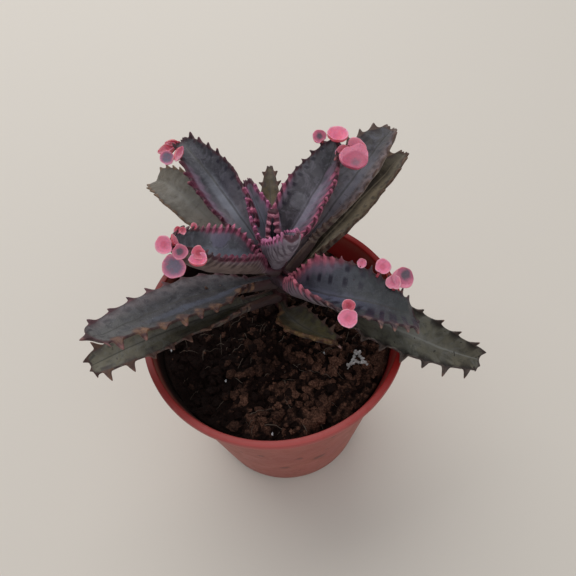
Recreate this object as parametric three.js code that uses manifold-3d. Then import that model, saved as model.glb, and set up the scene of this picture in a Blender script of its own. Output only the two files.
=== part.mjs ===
// A young pink butterflies kalanchoe in a small terracotta-red plastic pot.
// Millimetres, +Z up. The origin is the middle of the pot's flat foot, and -Y is the plant's front.

import * as THREE from "three";
import { mergeVertices } from "three/addons/utils/BufferGeometryUtils.js";
import Module from "manifold-3d";

const wasm = await Module();
wasm.setup();

// Gap that touching pieces keep.
const GAP = 0.3;

// Pot: outer sizes, wall, rolled lip and drainage holes.
const POT_HEIGHT = 58.5;
const POT_FOOT_RADIUS = 22.3;
const POT_NECK_RADIUS = 30.8;
const POT_WALL = 0.85;
const POT_FLOOR = 1.4;
const FOOT_BEVEL = 1.2;
const LIP_RADIUS = 32.5;
const LIP_HEIGHT = 2.2;
const LIP_ROUND = 0.6;
const POT_SIDES = 40;
const DRAIN_COUNT = 5;
const DRAIN_RADIUS = 1.8;
const DRAIN_RING = 12;
const DRAIN_SIDES = 12;

// Soil: level below the lip, and lumps of its top.
const SOIL_TOP = 51.9;
const SOIL_LUMP = 0.55;
const SOIL_RINGS = [4, 9, 14, 19, 24];
const SOIL_SIDES = 40;

// Stem: one upright stem, a little behind the middle of the pot.
const STEM_AT = new THREE.Vector2(1.9, 8.8);
const STEM_FOOT = 40;
const STEM_TOP = 69.5;
const STEM_FOOT_RADIUS = 2.3;
const STEM_TOP_RADIUS = 1.5;
const STEM_SIDES = 14;

// Leaf blade: share of the fold that is bow, width of the stalk against the blade, and thickness.
const BOW = 0.9;
const STALK_WIDTH = 0.2;
const MARGIN_THICKNESS = 0.4;
const KEEL_THICKNESS = 2.0;
const KEEL_THINNING = 0.5;
const REACH = 0.36;
const TIP_ROUND = 0.06;
const BASE_STATIONS = 4;
const TIP_STATIONS = [0.965, 0.985];

// What leaves of one age share: share of the length where the fold has opened, stalk, lobe beyond it,
// blunt width of the tip, teeth on each margin and their length.
const AGES = {
  old: { open: 0.9, stalk: 0.2, lobe: 0.24, blunt: 0.33, teeth: 12, tooth: 1.2 },
  middle: { open: 0.6, stalk: 0.17, lobe: 0.3, blunt: 0.32, teeth: 12, tooth: 1.0 },
  young: { open: 0.88, stalk: 0.13, lobe: 0.27, blunt: 0.3, teeth: 12, tooth: 0.8 },
  bud: { open: 0.85, stalk: 0.12, lobe: 0.25, blunt: 0.2, teeth: 6, tooth: 0.5 },
  small: { open: 0.9, stalk: 0.18, lobe: 0.2, blunt: 0.45, teeth: 5, tooth: 0.6 },
};

// Each leaf: height of its node on the stem, tip, rise of its base and tip above level, sideways swing,
// width, fold of its base and tip, and roll of its base and tip. Angles are in degrees.
const LEAVES = [
  {
    name: "leaf_young_left",
    age: "young",
    node: 67.6,
    tip: [-17.4, -2.1, 94.2],
    rise: [53, 80],
    swing: -1,
    wide: 16.5,
    fold: [67, 48],
    roll: [4, -1],
  },
  {
    name: "leaf_young_back_right",
    age: "young",
    node: 67.8,
    tip: [17.8, 23.3, 93.0],
    rise: [68, 96],
    swing: 6,
    wide: 15.6,
    fold: [66, 23],
    roll: [-29, 17],
  },
  {
    name: "leaf_bud_back",
    age: "bud",
    node: 71,
    tip: [-2.5, 22, 84.5],
    rise: [71, 43],
    swing: 1,
    wide: 8,
    fold: [58, 43],
    roll: [-6, 7],
  },
  {
    name: "leaf_bud_front",
    age: "bud",
    node: 70,
    tip: [7, 1.5, 89],
    rise: [60, 75],
    swing: 0,
    wide: 10,
    fold: [75, 60],
    roll: [0, 0],
  },
  {
    name: "leaf_bud_centre",
    age: "bud",
    node: 71.5,
    tip: [2.6, 11.5, 87.5],
    rise: [85, 80],
    swing: 0,
    wide: 5,
    fold: [80, 60],
    roll: [0, 0],
  },
  {
    name: "leaf_young_back_left",
    age: "young",
    node: 65.2,
    tip: [-18.4, 38.2, 83.8],
    rise: [53, -5],
    swing: 5,
    wide: 14.9,
    fold: [90, 38],
    roll: [30, 5],
  },
  {
    name: "leaf_young_front_right",
    age: "young",
    node: 65,
    tip: [32.1, -9.7, 67.2],
    rise: [8, -54],
    swing: -27,
    wide: 17.8,
    fold: [77, 10],
    roll: [4, 16],
  },
  {
    name: "leaf_middle_left",
    age: "middle",
    node: 62.6,
    tip: [-36.9, -14.8, 84.6],
    rise: [25, 34],
    swing: -15.5,
    wide: 15.2,
    fold: [38, 7],
    roll: [-27, -6],
  },
  {
    name: "leaf_middle_back_right",
    age: "middle",
    node: 62.8,
    tip: [32.9, 33.6, 85.2],
    rise: [37, 14],
    swing: -6,
    wide: 15.1,
    fold: [73, 33],
    roll: [-2.5, 7],
  },
  {
    name: "leaf_old_front_right",
    age: "old",
    node: 60.6,
    tip: [48.8, -13.7, 54.5],
    rise: [43, -21],
    swing: -18,
    wide: 14.8,
    fold: [34, 39],
    roll: [3, -32],
  },
  {
    name: "leaf_old_back_left",
    age: "old",
    node: 60.2,
    tip: [-30, 44.4, 65],
    rise: [29, -42],
    swing: 8,
    wide: 12.6,
    fold: [48, 27],
    roll: [1, 21],
  },
  {
    name: "leaf_old_left",
    age: "old",
    node: 56.6,
    tip: [-42.4, -11.9, 65.4],
    rise: [27, -15],
    swing: 8.5,
    wide: 12.2,
    fold: [52, 20],
    roll: [-7, 21],
  },
  {
    name: "leaf_old_back_right",
    age: "old",
    node: 57,
    tip: [38.5, 38.9, 71.6],
    rise: [27, 11],
    swing: -2,
    wide: 12.4,
    fold: [52, 23],
    roll: [0, 16],
  },
  {
    name: "leaf_small_back",
    age: "small",
    node: 55.6,
    tip: [2.6, 46.4, 63.9],
    rise: [27, 5],
    swing: 3.5,
    wide: 6.8,
    fold: [35, 16],
    roll: [0, 1],
  },
  {
    name: "leaf_small_front",
    age: "small",
    node: 54.6,
    tip: [14.7, -8, 55.6],
    rise: [0, -22],
    swing: -37,
    wide: 9.5,
    fold: [22, 32],
    roll: [-12, 31],
  },
];

// Plantlets: pink paired leaflets on the leaf margins. Each has the place on the margin where it grows
// and its round leaflets: centre, width across, and the azimuth and elevation that it faces.
const LEAFLET_THICKNESS = 1.2;
const LEAFLET_SIDES = 10;
const LEAFLET_RINGS = 4;
const STALK_RADIUS = 0.45;
const STALK_SIDES = 6;
const PLANTLETS = [
  {
    name: "plantlet_front_right_stalked",
    foot: [20.9, 2, 73.8],
    leaflets: [{ at: [21.5, 2.7, 74.7], across: 2.4, faces: [-90, 50] }],
  },
  {
    name: "plantlet_front_right_middle",
    foot: [24.5, -0.2, 72.6],
    leaflets: [{ at: [26.2, 1.7, 73.9], across: 3.8, faces: [-80, 60] }],
  },
  {
    name: "plantlet_front_right_far",
    foot: [27.9, -3.1, 71],
    leaflets: [
      { at: [30.4, -1.1, 72.6], across: 5, faces: [-85, 60] },
      { at: [28.1, -1.9, 72.8], across: 3.6, faces: [-110, 60] },
    ],
  },
  {
    name: "plantlet_front_right_near",
    foot: [16.4, -11, 76],
    leaflets: [
      { at: [16.6, -10.1, 77.8], across: 3, faces: [-95, 40] },
      { at: [16.2, -12.6, 76.8], across: 4.3, faces: [-90, 55] },
    ],
  },
  {
    name: "plantlet_left_outer",
    foot: [-17.4, -2.1, 94.2],
    leaflets: [
      { at: [-19.1, -2.3, 94.7], across: 3.8, faces: [-100, 50] },
      { at: [-16.7, -2.2, 95.8], across: 1.9, faces: [-30, 20] },
    ],
  },
  {
    name: "plantlet_left_middle",
    foot: [-17, -1.9, 93],
    leaflets: [{ at: [-15.9, -4.3, 94.6], across: 3.2, faces: [-80, 50] }],
  },
  {
    name: "plantlet_left_large",
    foot: [-16.6, -2.4, 91.6],
    leaflets: [{ at: [-17.9, -5, 91], across: 5, faces: [-95, 50] }],
  },
  {
    name: "plantlet_left_inner",
    foot: [-12.1, -2.8, 92.7],
    leaflets: [
      { at: [-12.5, -4.1, 93.5], across: 3, faces: [-85, 45] },
      { at: [-12.6, -5.3, 93.4], across: 3.5, faces: [-90, 95] },
    ],
  },
  {
    name: "plantlet_left_back",
    foot: [-15.9, 2.3, 93.6],
    leaflets: [
      { at: [-16.6, 1.7, 94], across: 1.7, faces: [-90, 60] },
      { at: [-15.6, 1.5, 93.9], across: 1.7, faces: [-90, 60] },
    ],
  },
  {
    name: "plantlet_left_far",
    foot: [-13.9, 4.8, 90.1],
    leaflets: [{ at: [-13.9, 4.9, 90.9], across: 1.5, faces: [-90, 60] }],
  },
  {
    name: "plantlet_back_left_low",
    foot: [-19.2, 36.4, 84],
    leaflets: [{ at: [-21.7, 33, 83.8], across: 3.6, faces: [-95, 55] }],
  },
  {
    name: "plantlet_back_left_upright",
    foot: [-18.4, 32.5, 85.6],
    leaflets: [{ at: [-18.4, 31.2, 86.6], across: 2.6, faces: [-20, 30] }],
  },
  {
    name: "plantlet_back_left_tip",
    foot: [-18.6, 38, 84],
    leaflets: [
      { at: [-21.8, 36.4, 83.8], across: 3, faces: [-110, 50] },
      { at: [-20.6, 37, 84.6], across: 2.2, faces: [-80, 50] },
    ],
  },
  {
    name: "plantlet_back_right_left",
    foot: [15.3, 24.9, 91.3],
    leaflets: [{ at: [14.6, 25.9, 92.4], across: 3.2, faces: [-90, 60] }],
  },
  {
    name: "plantlet_back_right_top",
    foot: [17.8, 23.4, 92.9],
    leaflets: [{ at: [18.5, 24.1, 94.4], across: 4.5, faces: [-90, 85] }],
  },
  {
    name: "plantlet_back_right_large",
    foot: [20.6, 22.7, 91.7],
    leaflets: [
      { at: [21.8, 18.6, 92.2], across: 4.7, faces: [-85, 55] },
      { at: [21.9, 21.6, 92.5], across: 4.2, faces: [-70, 60] },
      { at: [19.7, 19.1, 93.3], across: 3.7, faces: [-110, 45] },
    ],
  },
];

// Grit: one pale crumb that lies on the soil at the front right.
const CRUMB_AT = [18.6, -11.1, 52.8];
const CRUMB_HALF = [2.4, 2.8, 0.9];

const MATERIALS = {
  pot: { color: 0x96504a, roughness: 0.45, metalness: 0 },
  soil: { color: 0x2a211c, roughness: 0.95, metalness: 0 },
  stem: { color: 0x4a3238, roughness: 0.6, metalness: 0 },
  old: { color: 0x5c5d50, roughness: 0.5, metalness: 0 },
  middle: { color: 0x54555a, roughness: 0.5, metalness: 0 },
  young: { color: 0x4b4752, roughness: 0.5, metalness: 0 },
  bud: { color: 0x6b454c, roughness: 0.5, metalness: 0 },
  small: { color: 0x5a5a44, roughness: 0.5, metalness: 0 },
  plantlet: { color: 0xc4607c, roughness: 0.4, metalness: 0 },
  grit: { color: 0xc9c4bd, roughness: 0.9, metalness: 0 },
};

const plant = new THREE.Group();

// A closed geometry as a solid, with its shared vertices merged and its collapsed triangles dropped.
function solidFrom(geometry) {
  const loose = geometry.index ? geometry.toNonIndexed() : geometry.clone();
  loose.deleteAttribute("normal");
  loose.deleteAttribute("uv");
  const merged = mergeVertices(loose, 1e-4);
  const corners = merged.index.array;
  const kept = [];
  for (let i = 0; i < corners.length; i += 3) {
    const [a, b, c] = corners.slice(i, i + 3);
    if (a !== b && b !== c && c !== a) kept.push(a, b, c);
  }
  const mesh = new wasm.Mesh({
    numProp: 3,
    vertProperties: merged.attributes.position.array,
    triVerts: new Uint32Array(kept),
  });
  return new wasm.Manifold(mesh);
}

function geometryFrom(solid) {
  const mesh = solid.getMesh();
  const geometry = new THREE.BufferGeometry();
  geometry.setAttribute("position", new THREE.BufferAttribute(mesh.vertProperties, 3));
  geometry.setIndex(new THREE.BufferAttribute(mesh.triVerts, 1));
  geometry.computeVertexNormals();
  return geometry;
}

// The largest body of a cut solid, without the slivers that a cut can leave.
function largestBody(solid) {
  const bodies = solid.decompose();
  return bodies.reduce((best, body) => (body.volume() > best.volume() ? body : best));
}

function place(name, solid, look) {
  const mesh = new THREE.Mesh(geometryFrom(solid), new THREE.MeshStandardMaterial(MATERIALS[look]));
  mesh.name = name;
  plant.add(mesh);
}

function lathe(profile, sides) {
  const geometry = new THREE.LatheGeometry(profile, sides);
  geometry.rotateX(Math.PI / 2);
  return geometry;
}

function uprightCylinder(topRadius, footRadius, bottom, top, sides) {
  const geometry = new THREE.CylinderGeometry(topRadius, footRadius, top - bottom, sides);
  geometry.rotateX(Math.PI / 2);
  geometry.translate(0, 0, (bottom + top) / 2);
  return geometry;
}

// Outer radius of the pot's tapered wall at a height.
function wallRadius(height) {
  const share = height / (POT_HEIGHT - LIP_HEIGHT);
  return POT_FOOT_RADIUS + (POT_NECK_RADIUS - POT_FOOT_RADIUS) * share;
}

// The pot is one turned wall from foot to rolled lip and down the inside to its floor.
function makePot() {
  const lipFoot = POT_HEIGHT - LIP_HEIGHT;
  const inner = (height) => wallRadius(height) - POT_WALL;
  const profile = [
    [0, 0],
    [POT_FOOT_RADIUS - FOOT_BEVEL, 0],
    [wallRadius(FOOT_BEVEL), FOOT_BEVEL],
    [wallRadius(lipFoot / 2), lipFoot / 2],
    [wallRadius(lipFoot), lipFoot],
    [LIP_RADIUS - LIP_ROUND / 2, lipFoot],
    [LIP_RADIUS, lipFoot + LIP_ROUND],
    [LIP_RADIUS, POT_HEIGHT - LIP_ROUND],
    [LIP_RADIUS - LIP_ROUND, POT_HEIGHT],
    [POT_NECK_RADIUS, POT_HEIGHT],
    [inner(lipFoot), POT_HEIGHT - LIP_ROUND],
    [inner(lipFoot / 2), lipFoot / 2],
    [inner(POT_FLOOR), POT_FLOOR],
    [0, POT_FLOOR],
  ].map(([radius, height]) => new THREE.Vector2(radius, height));
  let pot = solidFrom(lathe(profile, POT_SIDES));
  for (let i = 0; i < DRAIN_COUNT; i += 1) {
    const turn = ((i + 0.5) * 2 * Math.PI) / DRAIN_COUNT;
    const hole = uprightCylinder(DRAIN_RADIUS, DRAIN_RADIUS, -1, POT_FLOOR + 1, DRAIN_SIDES);
    hole.translate(DRAIN_RING * Math.cos(turn), DRAIN_RING * Math.sin(turn), 0);
    pot = pot.subtract(solidFrom(hole));
  }
  return pot;
}

// Height of the lumpy soil at a place.
function soilHeight(x, y) {
  const broad = Math.sin(x * 0.31 + 1.2) * Math.cos(y * 0.27 - 0.4);
  const fine = Math.sin(x * 0.83 - y * 0.61) * Math.cos(y * 0.74 + x * 0.22);
  return SOIL_TOP + SOIL_LUMP * (broad + 0.6 * fine);
}

// The soil fills the pot from its floor: a ring on the floor, a ring at the wall, and rings on its top.
function makeSoil() {
  const floor = POT_FLOOR + GAP;
  const foot = wallRadius(floor) - POT_WALL - GAP;
  const edge = wallRadius(SOIL_TOP) - POT_WALL - GAP;
  const points = [0, 0, floor];
  const rings = [{ radius: foot, flat: true }, { radius: edge }];
  [...SOIL_RINGS].reverse().forEach((radius) => rings.push({ radius }));
  rings.forEach(({ radius, flat }) => {
    for (let i = 0; i < SOIL_SIDES; i += 1) {
      const turn = (i * 2 * Math.PI) / SOIL_SIDES;
      const x = radius * Math.cos(turn);
      const y = radius * Math.sin(turn);
      points.push(x, y, flat ? floor : soilHeight(x, y));
    }
  });
  points.push(0, 0, soilHeight(0, 0));
  const corners = [];
  const last = points.length / 3 - 1;
  const at = (ring, i) => 1 + ring * SOIL_SIDES + (i % SOIL_SIDES);
  for (let i = 0; i < SOIL_SIDES; i += 1) {
    corners.push(0, at(0, i + 1), at(0, i));
    corners.push(last, at(rings.length - 1, i), at(rings.length - 1, i + 1));
    for (let ring = 0; ring < rings.length - 1; ring += 1) {
      corners.push(at(ring, i), at(ring, i + 1), at(ring + 1, i + 1));
      corners.push(at(ring, i), at(ring + 1, i + 1), at(ring + 1, i));
    }
  }
  return solidFrom(indexed(points, corners));
}

function indexed(points, corners) {
  const geometry = new THREE.BufferGeometry();
  geometry.setAttribute("position", new THREE.Float32BufferAttribute(points, 3));
  geometry.setIndex(corners);
  return geometry;
}

// The stem tapers from its foot in the soil to the growing point, and grow widens it for a clear cut.
function makeStem(grow = 0) {
  const stem = uprightCylinder(
    STEM_TOP_RADIUS + grow,
    STEM_FOOT_RADIUS + grow,
    STEM_FOOT - grow,
    STEM_TOP + grow,
    STEM_SIDES,
  );
  stem.translate(STEM_AT.x, STEM_AT.y, 0);
  return solidFrom(stem);
}

function mix(ends, share) {
  return ends[0] + (ends[1] - ends[0]) * share;
}

function heading(azimuth, elevation) {
  const level = Math.cos(elevation);
  return new THREE.Vector3(Math.cos(azimuth) * level, Math.sin(azimuth) * level, Math.sin(elevation));
}

// The midrib leaves the stem at the first rise and swing, and reaches the tip at the last rise.
function midrib(leaf) {
  const base = new THREE.Vector3(STEM_AT.x, STEM_AT.y, leaf.node);
  const tip = new THREE.Vector3(...leaf.tip);
  const run = tip.clone().sub(base);
  const azimuth = Math.atan2(run.y, run.x);
  const swing = THREE.MathUtils.degToRad(leaf.swing);
  const [first, last] = leaf.rise.map(THREE.MathUtils.degToRad);
  const reach = run.length() * REACH;
  const out = heading(azimuth + swing, first).multiplyScalar(reach).add(base);
  const back = heading(azimuth - swing, last).multiplyScalar(-reach).add(tip);
  return new THREE.CubicBezierCurve3(base, out, back, tip);
}

function smoothStep(value) {
  const x = THREE.MathUtils.clamp(value, 0, 1);
  return x * x * (3 - 2 * x);
}

// Width of the blade as a share of its full width: narrow stalk, lobe, slow taper and rounded blunt tip.
function widthShare(leaf, share) {
  const lobeEnd = leaf.stalk + leaf.lobe;
  const widened = mix([STALK_WIDTH, 1], smoothStep((share - leaf.stalk) / leaf.lobe));
  const beyond = THREE.MathUtils.clamp((share - lobeEnd) / (1 - lobeEnd), 0, 1);
  const taper = (1 - leaf.blunt) * (1 - Math.cos((beyond * Math.PI) / 2) ** 0.9);
  const end = Math.max(0, (share - 1 + TIP_ROUND) / TIP_ROUND);
  return (widened - taper) * Math.sqrt(Math.max(0, 1 - end * end));
}

// Half of the trough section at a share of its arc, as distances out and up and the slope there.
function halfSection(fold, share) {
  const start = fold * (1 - BOW / 2);
  const turn = fold * BOW;
  const slope = start + turn * share;
  return {
    out: (Math.sin(slope) - Math.sin(start)) / turn,
    up: (Math.cos(start) - Math.cos(slope)) / turn,
    slope: share === 0 ? 0 : slope,
  };
}

// One ring of eight points round the blade: margin, middle, rib, middle, margin, and back underneath.
function leafRing(leaf, curve, share, tooth, grow) {
  const centre = curve.getPoint(share);
  const along = curve.getTangent(share);
  const side = new THREE.Vector3().crossVectors(along, new THREE.Vector3(0, 0, 1)).normalize();
  side.applyAxisAngle(along, -THREE.MathUtils.degToRad(mix(leaf.roll, share)));
  const up = new THREE.Vector3().crossVectors(side, along);
  const opened = 0.5 * (1 + Math.cos(Math.PI * Math.min(share / leaf.open, 1)));
  const fold = THREE.MathUtils.degToRad(mix([leaf.fold[1], leaf.fold[0]], opened));
  const half = (leaf.wide / 2) * widthShare(leaf, share) + grow;
  const point = (sign, arc, below) => {
    const section = halfSection(fold, arc);
    const body = KEEL_THICKNESS * (1 - arc * arc) * (1 - KEEL_THINNING * share);
    const lift = arc < 1 ? grow : 0;
    const drop = below ? MARGIN_THICKNESS + body + grow : -lift;
    const out = half * section.out + drop * Math.sin(section.slope);
    const rise = half * section.up - drop * Math.cos(section.slope);
    return centre.clone().addScaledVector(side, sign * out).addScaledVector(up, rise);
  };
  const margin = (sign) => {
    const section = halfSection(fold, 1);
    const outward = side.clone().multiplyScalar(sign * Math.cos(section.slope));
    outward.addScaledVector(up, Math.sin(section.slope));
    const edge = point(sign, 1, false).addScaledVector(outward, tooth + 2 * grow);
    return edge.addScaledVector(along, tooth / 2);
  };
  return [
    margin(1),
    point(1, 0.5, false),
    point(1, 0, false),
    point(-1, 0.5, false),
    margin(-1),
    point(-1, 0.5, true),
    point(0, 0, true),
    point(1, 0.5, true),
  ];
}

// Stations along the leaf: a few on the stalk, two for each tooth, and the rounded tip.
function leafStations(leaf) {
  const stations = [];
  for (let i = 0; i < BASE_STATIONS; i += 1) {
    stations.push({ share: (leaf.stalk * i) / (BASE_STATIONS - 1), tooth: 0 });
  }
  const first = leaf.stalk + leaf.lobe / 3;
  const pitch = (TIP_STATIONS[0] - first) / leaf.teeth;
  for (let i = 0; i < leaf.teeth; i += 1) {
    stations.push({ share: first + pitch * i, tooth: 0 });
    stations.push({ share: first + pitch * (i + 0.6), tooth: leaf.tooth });
  }
  TIP_STATIONS.forEach((share) => stations.push({ share, tooth: 0 }));
  return stations;
}

// A leaf is rings joined end to end, closed by a cap on its base and by one point at its tip.
function makeLeaf(leaf, grow = 0) {
  const curve = midrib(leaf);
  const rings = leafStations(leaf).map(({ share, tooth }) => leafRing(leaf, curve, share, tooth, grow));
  const sides = rings[0].length;
  const points = rings.flat().flatMap((point) => point.toArray());
  points.push(...leaf.tip);
  const corners = [];
  const at = (ring, i) => ring * sides + (i % sides);
  for (let i = 0; i < sides; i += 1) {
    for (let ring = 0; ring < rings.length - 1; ring += 1) {
      corners.push(at(ring, i), at(ring + 1, i + 1), at(ring, i + 1));
      corners.push(at(ring, i), at(ring + 1, i), at(ring + 1, i + 1));
    }
    corners.push(at(rings.length - 1, i), rings.length * sides, at(rings.length - 1, i + 1));
  }
  corners.push(0, 1, 7, 1, 2, 6, 1, 6, 7, 2, 3, 6, 3, 5, 6, 3, 4, 5);
  return solidFrom(indexed(points, corners));
}

// A leaflet is a flattened round, turned to face its way.
function makeLeaflet(leaflet) {
  const radius = leaflet.across / 2;
  const round = new THREE.SphereGeometry(radius, LEAFLET_SIDES, LEAFLET_RINGS);
  round.rotateX(Math.PI / 2);
  round.scale(1, 1, LEAFLET_THICKNESS / leaflet.across);
  const facing = heading(...leaflet.faces.map(THREE.MathUtils.degToRad));
  round.applyQuaternion(new THREE.Quaternion().setFromUnitVectors(new THREE.Vector3(0, 0, 1), facing));
  round.translate(...leaflet.at);
  return solidFrom(round);
}

// A stalk joins a leaflet to the margin.
function makeStalk(foot, top) {
  const run = new THREE.Vector3(...top).sub(new THREE.Vector3(...foot));
  const stalk = new THREE.CylinderGeometry(STALK_RADIUS, STALK_RADIUS, run.length(), STALK_SIDES);
  stalk.translate(0, run.length() / 2, 0);
  const turn = new THREE.Quaternion().setFromUnitVectors(new THREE.Vector3(0, 1, 0), run.normalize());
  stalk.applyQuaternion(turn);
  stalk.translate(...foot);
  return solidFrom(stalk);
}

function makePlantlet(plantlet) {
  const pieces = plantlet.leaflets.map((leaflet) =>
    makeLeaflet(leaflet).add(makeStalk(plantlet.foot, leaflet.at)),
  );
  return pieces.reduce((joined, piece) => joined.add(piece));
}

function makeCrumb(grow = 0) {
  const crumb = new THREE.IcosahedronGeometry(1, 1);
  crumb.scale(...CRUMB_HALF.map((half) => half + grow));
  crumb.translate(...CRUMB_AT);
  return solidFrom(crumb);
}

// Leaves grow pressed together at the stem, so each one is cut clear of the stem and of the leaves above.
const blocked = [makeStem(GAP)];
const blades = LEAVES.map((entry) => {
  const leaf = { ...AGES[entry.age], ...entry };
  const blade = blocked.reduce((left, other) => left.subtract(other), makeLeaf(leaf));
  blocked.push(makeLeaf(leaf, GAP));
  return { name: leaf.name, look: leaf.age, solid: largestBody(blade) };
});

place("pot", makePot(), "pot");
const lowest = makeLeaf({ ...AGES.small, ...LEAVES.at(-1) }, GAP);
const bed = [blocked[0], lowest, makeCrumb(GAP)].reduce((left, other) => left.subtract(other), makeSoil());
place("soil", largestBody(bed), "soil");
place("stem", makeStem(), "stem");
blades.forEach(({ name, look, solid }) => place(name, solid, look));
PLANTLETS.forEach((plantlet) => {
  const solid = blocked.reduce((left, other) => left.subtract(other), makePlantlet(plantlet));
  place(plantlet.name, largestBody(solid), "plantlet");
});
place("grit_crumb", makeCrumb(), "grit");

export default plant;
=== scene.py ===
import math
import random

import bpy
import numpy as np
from mathutils import Matrix, Vector, noise


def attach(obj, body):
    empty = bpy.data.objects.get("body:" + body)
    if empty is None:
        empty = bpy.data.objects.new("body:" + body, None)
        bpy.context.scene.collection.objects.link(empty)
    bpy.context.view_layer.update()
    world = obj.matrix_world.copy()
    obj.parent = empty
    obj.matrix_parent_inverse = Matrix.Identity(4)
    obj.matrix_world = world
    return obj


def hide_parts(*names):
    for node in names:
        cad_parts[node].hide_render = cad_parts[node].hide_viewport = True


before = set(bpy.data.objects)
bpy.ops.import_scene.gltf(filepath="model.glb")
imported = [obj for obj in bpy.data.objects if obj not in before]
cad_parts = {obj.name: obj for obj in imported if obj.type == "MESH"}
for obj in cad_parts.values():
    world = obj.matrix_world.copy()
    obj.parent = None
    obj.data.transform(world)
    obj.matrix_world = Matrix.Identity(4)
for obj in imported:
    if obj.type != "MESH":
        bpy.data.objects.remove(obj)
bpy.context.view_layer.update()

# Camera: the plant is seen from the front and above, at 57 degrees below level and from about 19 cm
# over the floor, with the view tilted a little to one side.
CAMERA_PLACE = (0.00424, -0.07797, 0.19013)
CAMERA_PITCH = math.radians(56.67)
CAMERA_ROLL = math.radians(-5.73)
CAMERA_LENS = 38.75


def placed(name, data):
    """A new object in the scene that holds this data."""
    made = bpy.data.objects.new(name, data)
    bpy.context.collection.objects.link(made)
    return made


camera = placed("camera", bpy.data.cameras.new("camera"))
camera.data.lens = CAMERA_LENS
camera.data.sensor_width = 36
camera.data.clip_start = 0.01
forward = Vector((0, math.cos(CAMERA_PITCH), -math.sin(CAMERA_PITCH)))
level = Vector((1, 0, 0))
upright = level.cross(forward)
right = level * math.cos(CAMERA_ROLL) + upright * math.sin(CAMERA_ROLL)
top = upright * math.cos(CAMERA_ROLL) - level * math.sin(CAMERA_ROLL)
facing = Matrix((right, top, -forward)).transposed().to_4x4()
camera.matrix_world = Matrix.Translation(CAMERA_PLACE) @ facing
bpy.context.scene.camera = camera

# Floor and light: a plain pale warm floor, one large soft light from behind and above, as from a window,
# a weaker one from the front, and an even pale sky. A light has its place, its size and its power.
FLOOR_TONE = (0.66, 0.61, 0.545, 1)
WINDOW_LIGHT = ((-0.2, 0.6, 0.75), 1.15, 6.3)
ROOM_LIGHT = ((0.25, -0.55, 0.7), 0.8, 1.2)
LIT_PLACE = (0, 0, 0.04)
SKY_TONE = (0.93, 0.96, 1.0, 1)
SKY_STRENGTH = 0.5


def soft_light(name, light, tone):
    """One square area light that points at the middle of the plant."""
    place, size, power = light
    lamp = bpy.data.lights.new(name, "AREA")
    lamp.size = size
    lamp.energy = power
    lamp.color = tone
    holder = placed(name, lamp)
    holder.location = place
    holder.rotation_euler = (Vector(LIT_PLACE) - Vector(place)).to_track_quat("-Z", "Y").to_euler()


bpy.ops.object.select_all(action="DESELECT")
bpy.ops.mesh.primitive_plane_add(size=4, location=(0, 0, -0.0002))
floor = bpy.context.object
floor.name = "floor"
floor_paint = bpy.data.materials.new("floor_paint")
floor_paint.use_nodes = True
floor_shader = floor_paint.node_tree.nodes["Principled BSDF"]
floor_shader.inputs["Base Color"].default_value = FLOOR_TONE
floor_shader.inputs["Roughness"].default_value = 0.6
floor.data.materials.append(floor_paint)

soft_light("window_light", WINDOW_LIGHT, (1.0, 0.985, 0.96))
soft_light("room_light", ROOM_LIGHT, (1.0, 0.98, 0.95))
sky = bpy.data.worlds.new("sky")
sky.use_nodes = True
sky.node_tree.nodes["Background"].inputs["Color"].default_value = SKY_TONE
sky.node_tree.nodes["Background"].inputs["Strength"].default_value = SKY_STRENGTH
bpy.context.scene.world = sky
bpy.context.scene.view_settings.view_transform = "Standard"

# Pot: one thin wall of terracotta-red plastic, moulded in one shot with a flat rolled lip, a foot ring
# and five drainage holes. Its outside is dulled by soil dust and its lip has a satin shine. Its colour also
# holds painted light: a pinker reflection on the front of the lip, painted shade on the left of the lip, on
# the inner wall at the left and, with dust, under the lip, and a saturated red glow inside for light through
# the thin plastic.
MM = 0.001
POT_SIDES = 128
POT_PROFILE = (
    (14.0, 0.55), (17.9, 0.5), (18.4, 0.12), (19.0, 0.0), (20.9, 0.0), (21.7, 0.25), (22.3, 0.75),
    (22.52, 1.5), (24.1, 12.0), (25.9, 24.0), (27.7, 36.0), (29.5, 48.0), (30.62, 55.4), (30.9, 56.1),
    (31.5, 56.3), (32.2, 56.4), (32.42, 56.6), (32.5, 57.0), (32.5, 58.1), (32.4, 58.38), (32.12, 58.5),
    (31.3, 58.5), (31.0, 58.4), (30.82, 58.1), (30.7, 57.5), (30.08, 55.4), (28.62, 48.0), (26.87, 36.0),
    (25.05, 24.0), (23.25, 12.0), (21.95, 3.2), (21.5, 2.0), (20.4, 1.42), (14.0, 1.4),
)
POT_FOOT_RADIUS = 22.3
POT_FLARE = 8.5 / 56.3
DRAIN_RADIUS = 1.8
DRAIN_RING = 12
DRAIN_COUNT = 5
SMUDGES = (
    (-6.8, -29.2, 50.8, 0.9), (-11.7, -25.3, 37.2, 0.8), (11.7, -26.7, 45.1, 1.1), (10.1, -25.3, 32.8, 0.8),
    (-1.5, -25.4, 20.7, 1.9), (2.7, -27.1, 32.4, 1.5), (8.0, -25.0, 25.9, 2.6), (-6.9, -27.2, 38.3, 1.2),
)


class Field:
    """What a material works out at each point. Fields add and multiply like numbers; | gives the larger."""

    def __init__(self, socket):
        self.socket = socket
        self.tree = socket.id_data

    def math(self, operation, *others):
        return Field(add(self.tree, "Math", self, *others, operation=operation).outputs[0])

    def __add__(self, other):
        return self.math("ADD", other)

    def __sub__(self, other):
        return self.math("SUBTRACT", other)

    def __rsub__(self, other):
        return self.math("MULTIPLY_ADD", -1.0, other)

    def __mul__(self, other):
        return self.math("MULTIPLY", other)

    def __truediv__(self, other):
        return self.math("DIVIDE", other)

    def __or__(self, other):
        return self.math("MAXIMUM", other)

    def __abs__(self):
        return self.math("ABSOLUTE")


def feed(socket, value):
    """Gives a socket a field or a plain value."""
    if isinstance(value, Field):
        value.tree.links.new(value.socket, socket)
    else:
        socket.default_value = value


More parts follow.
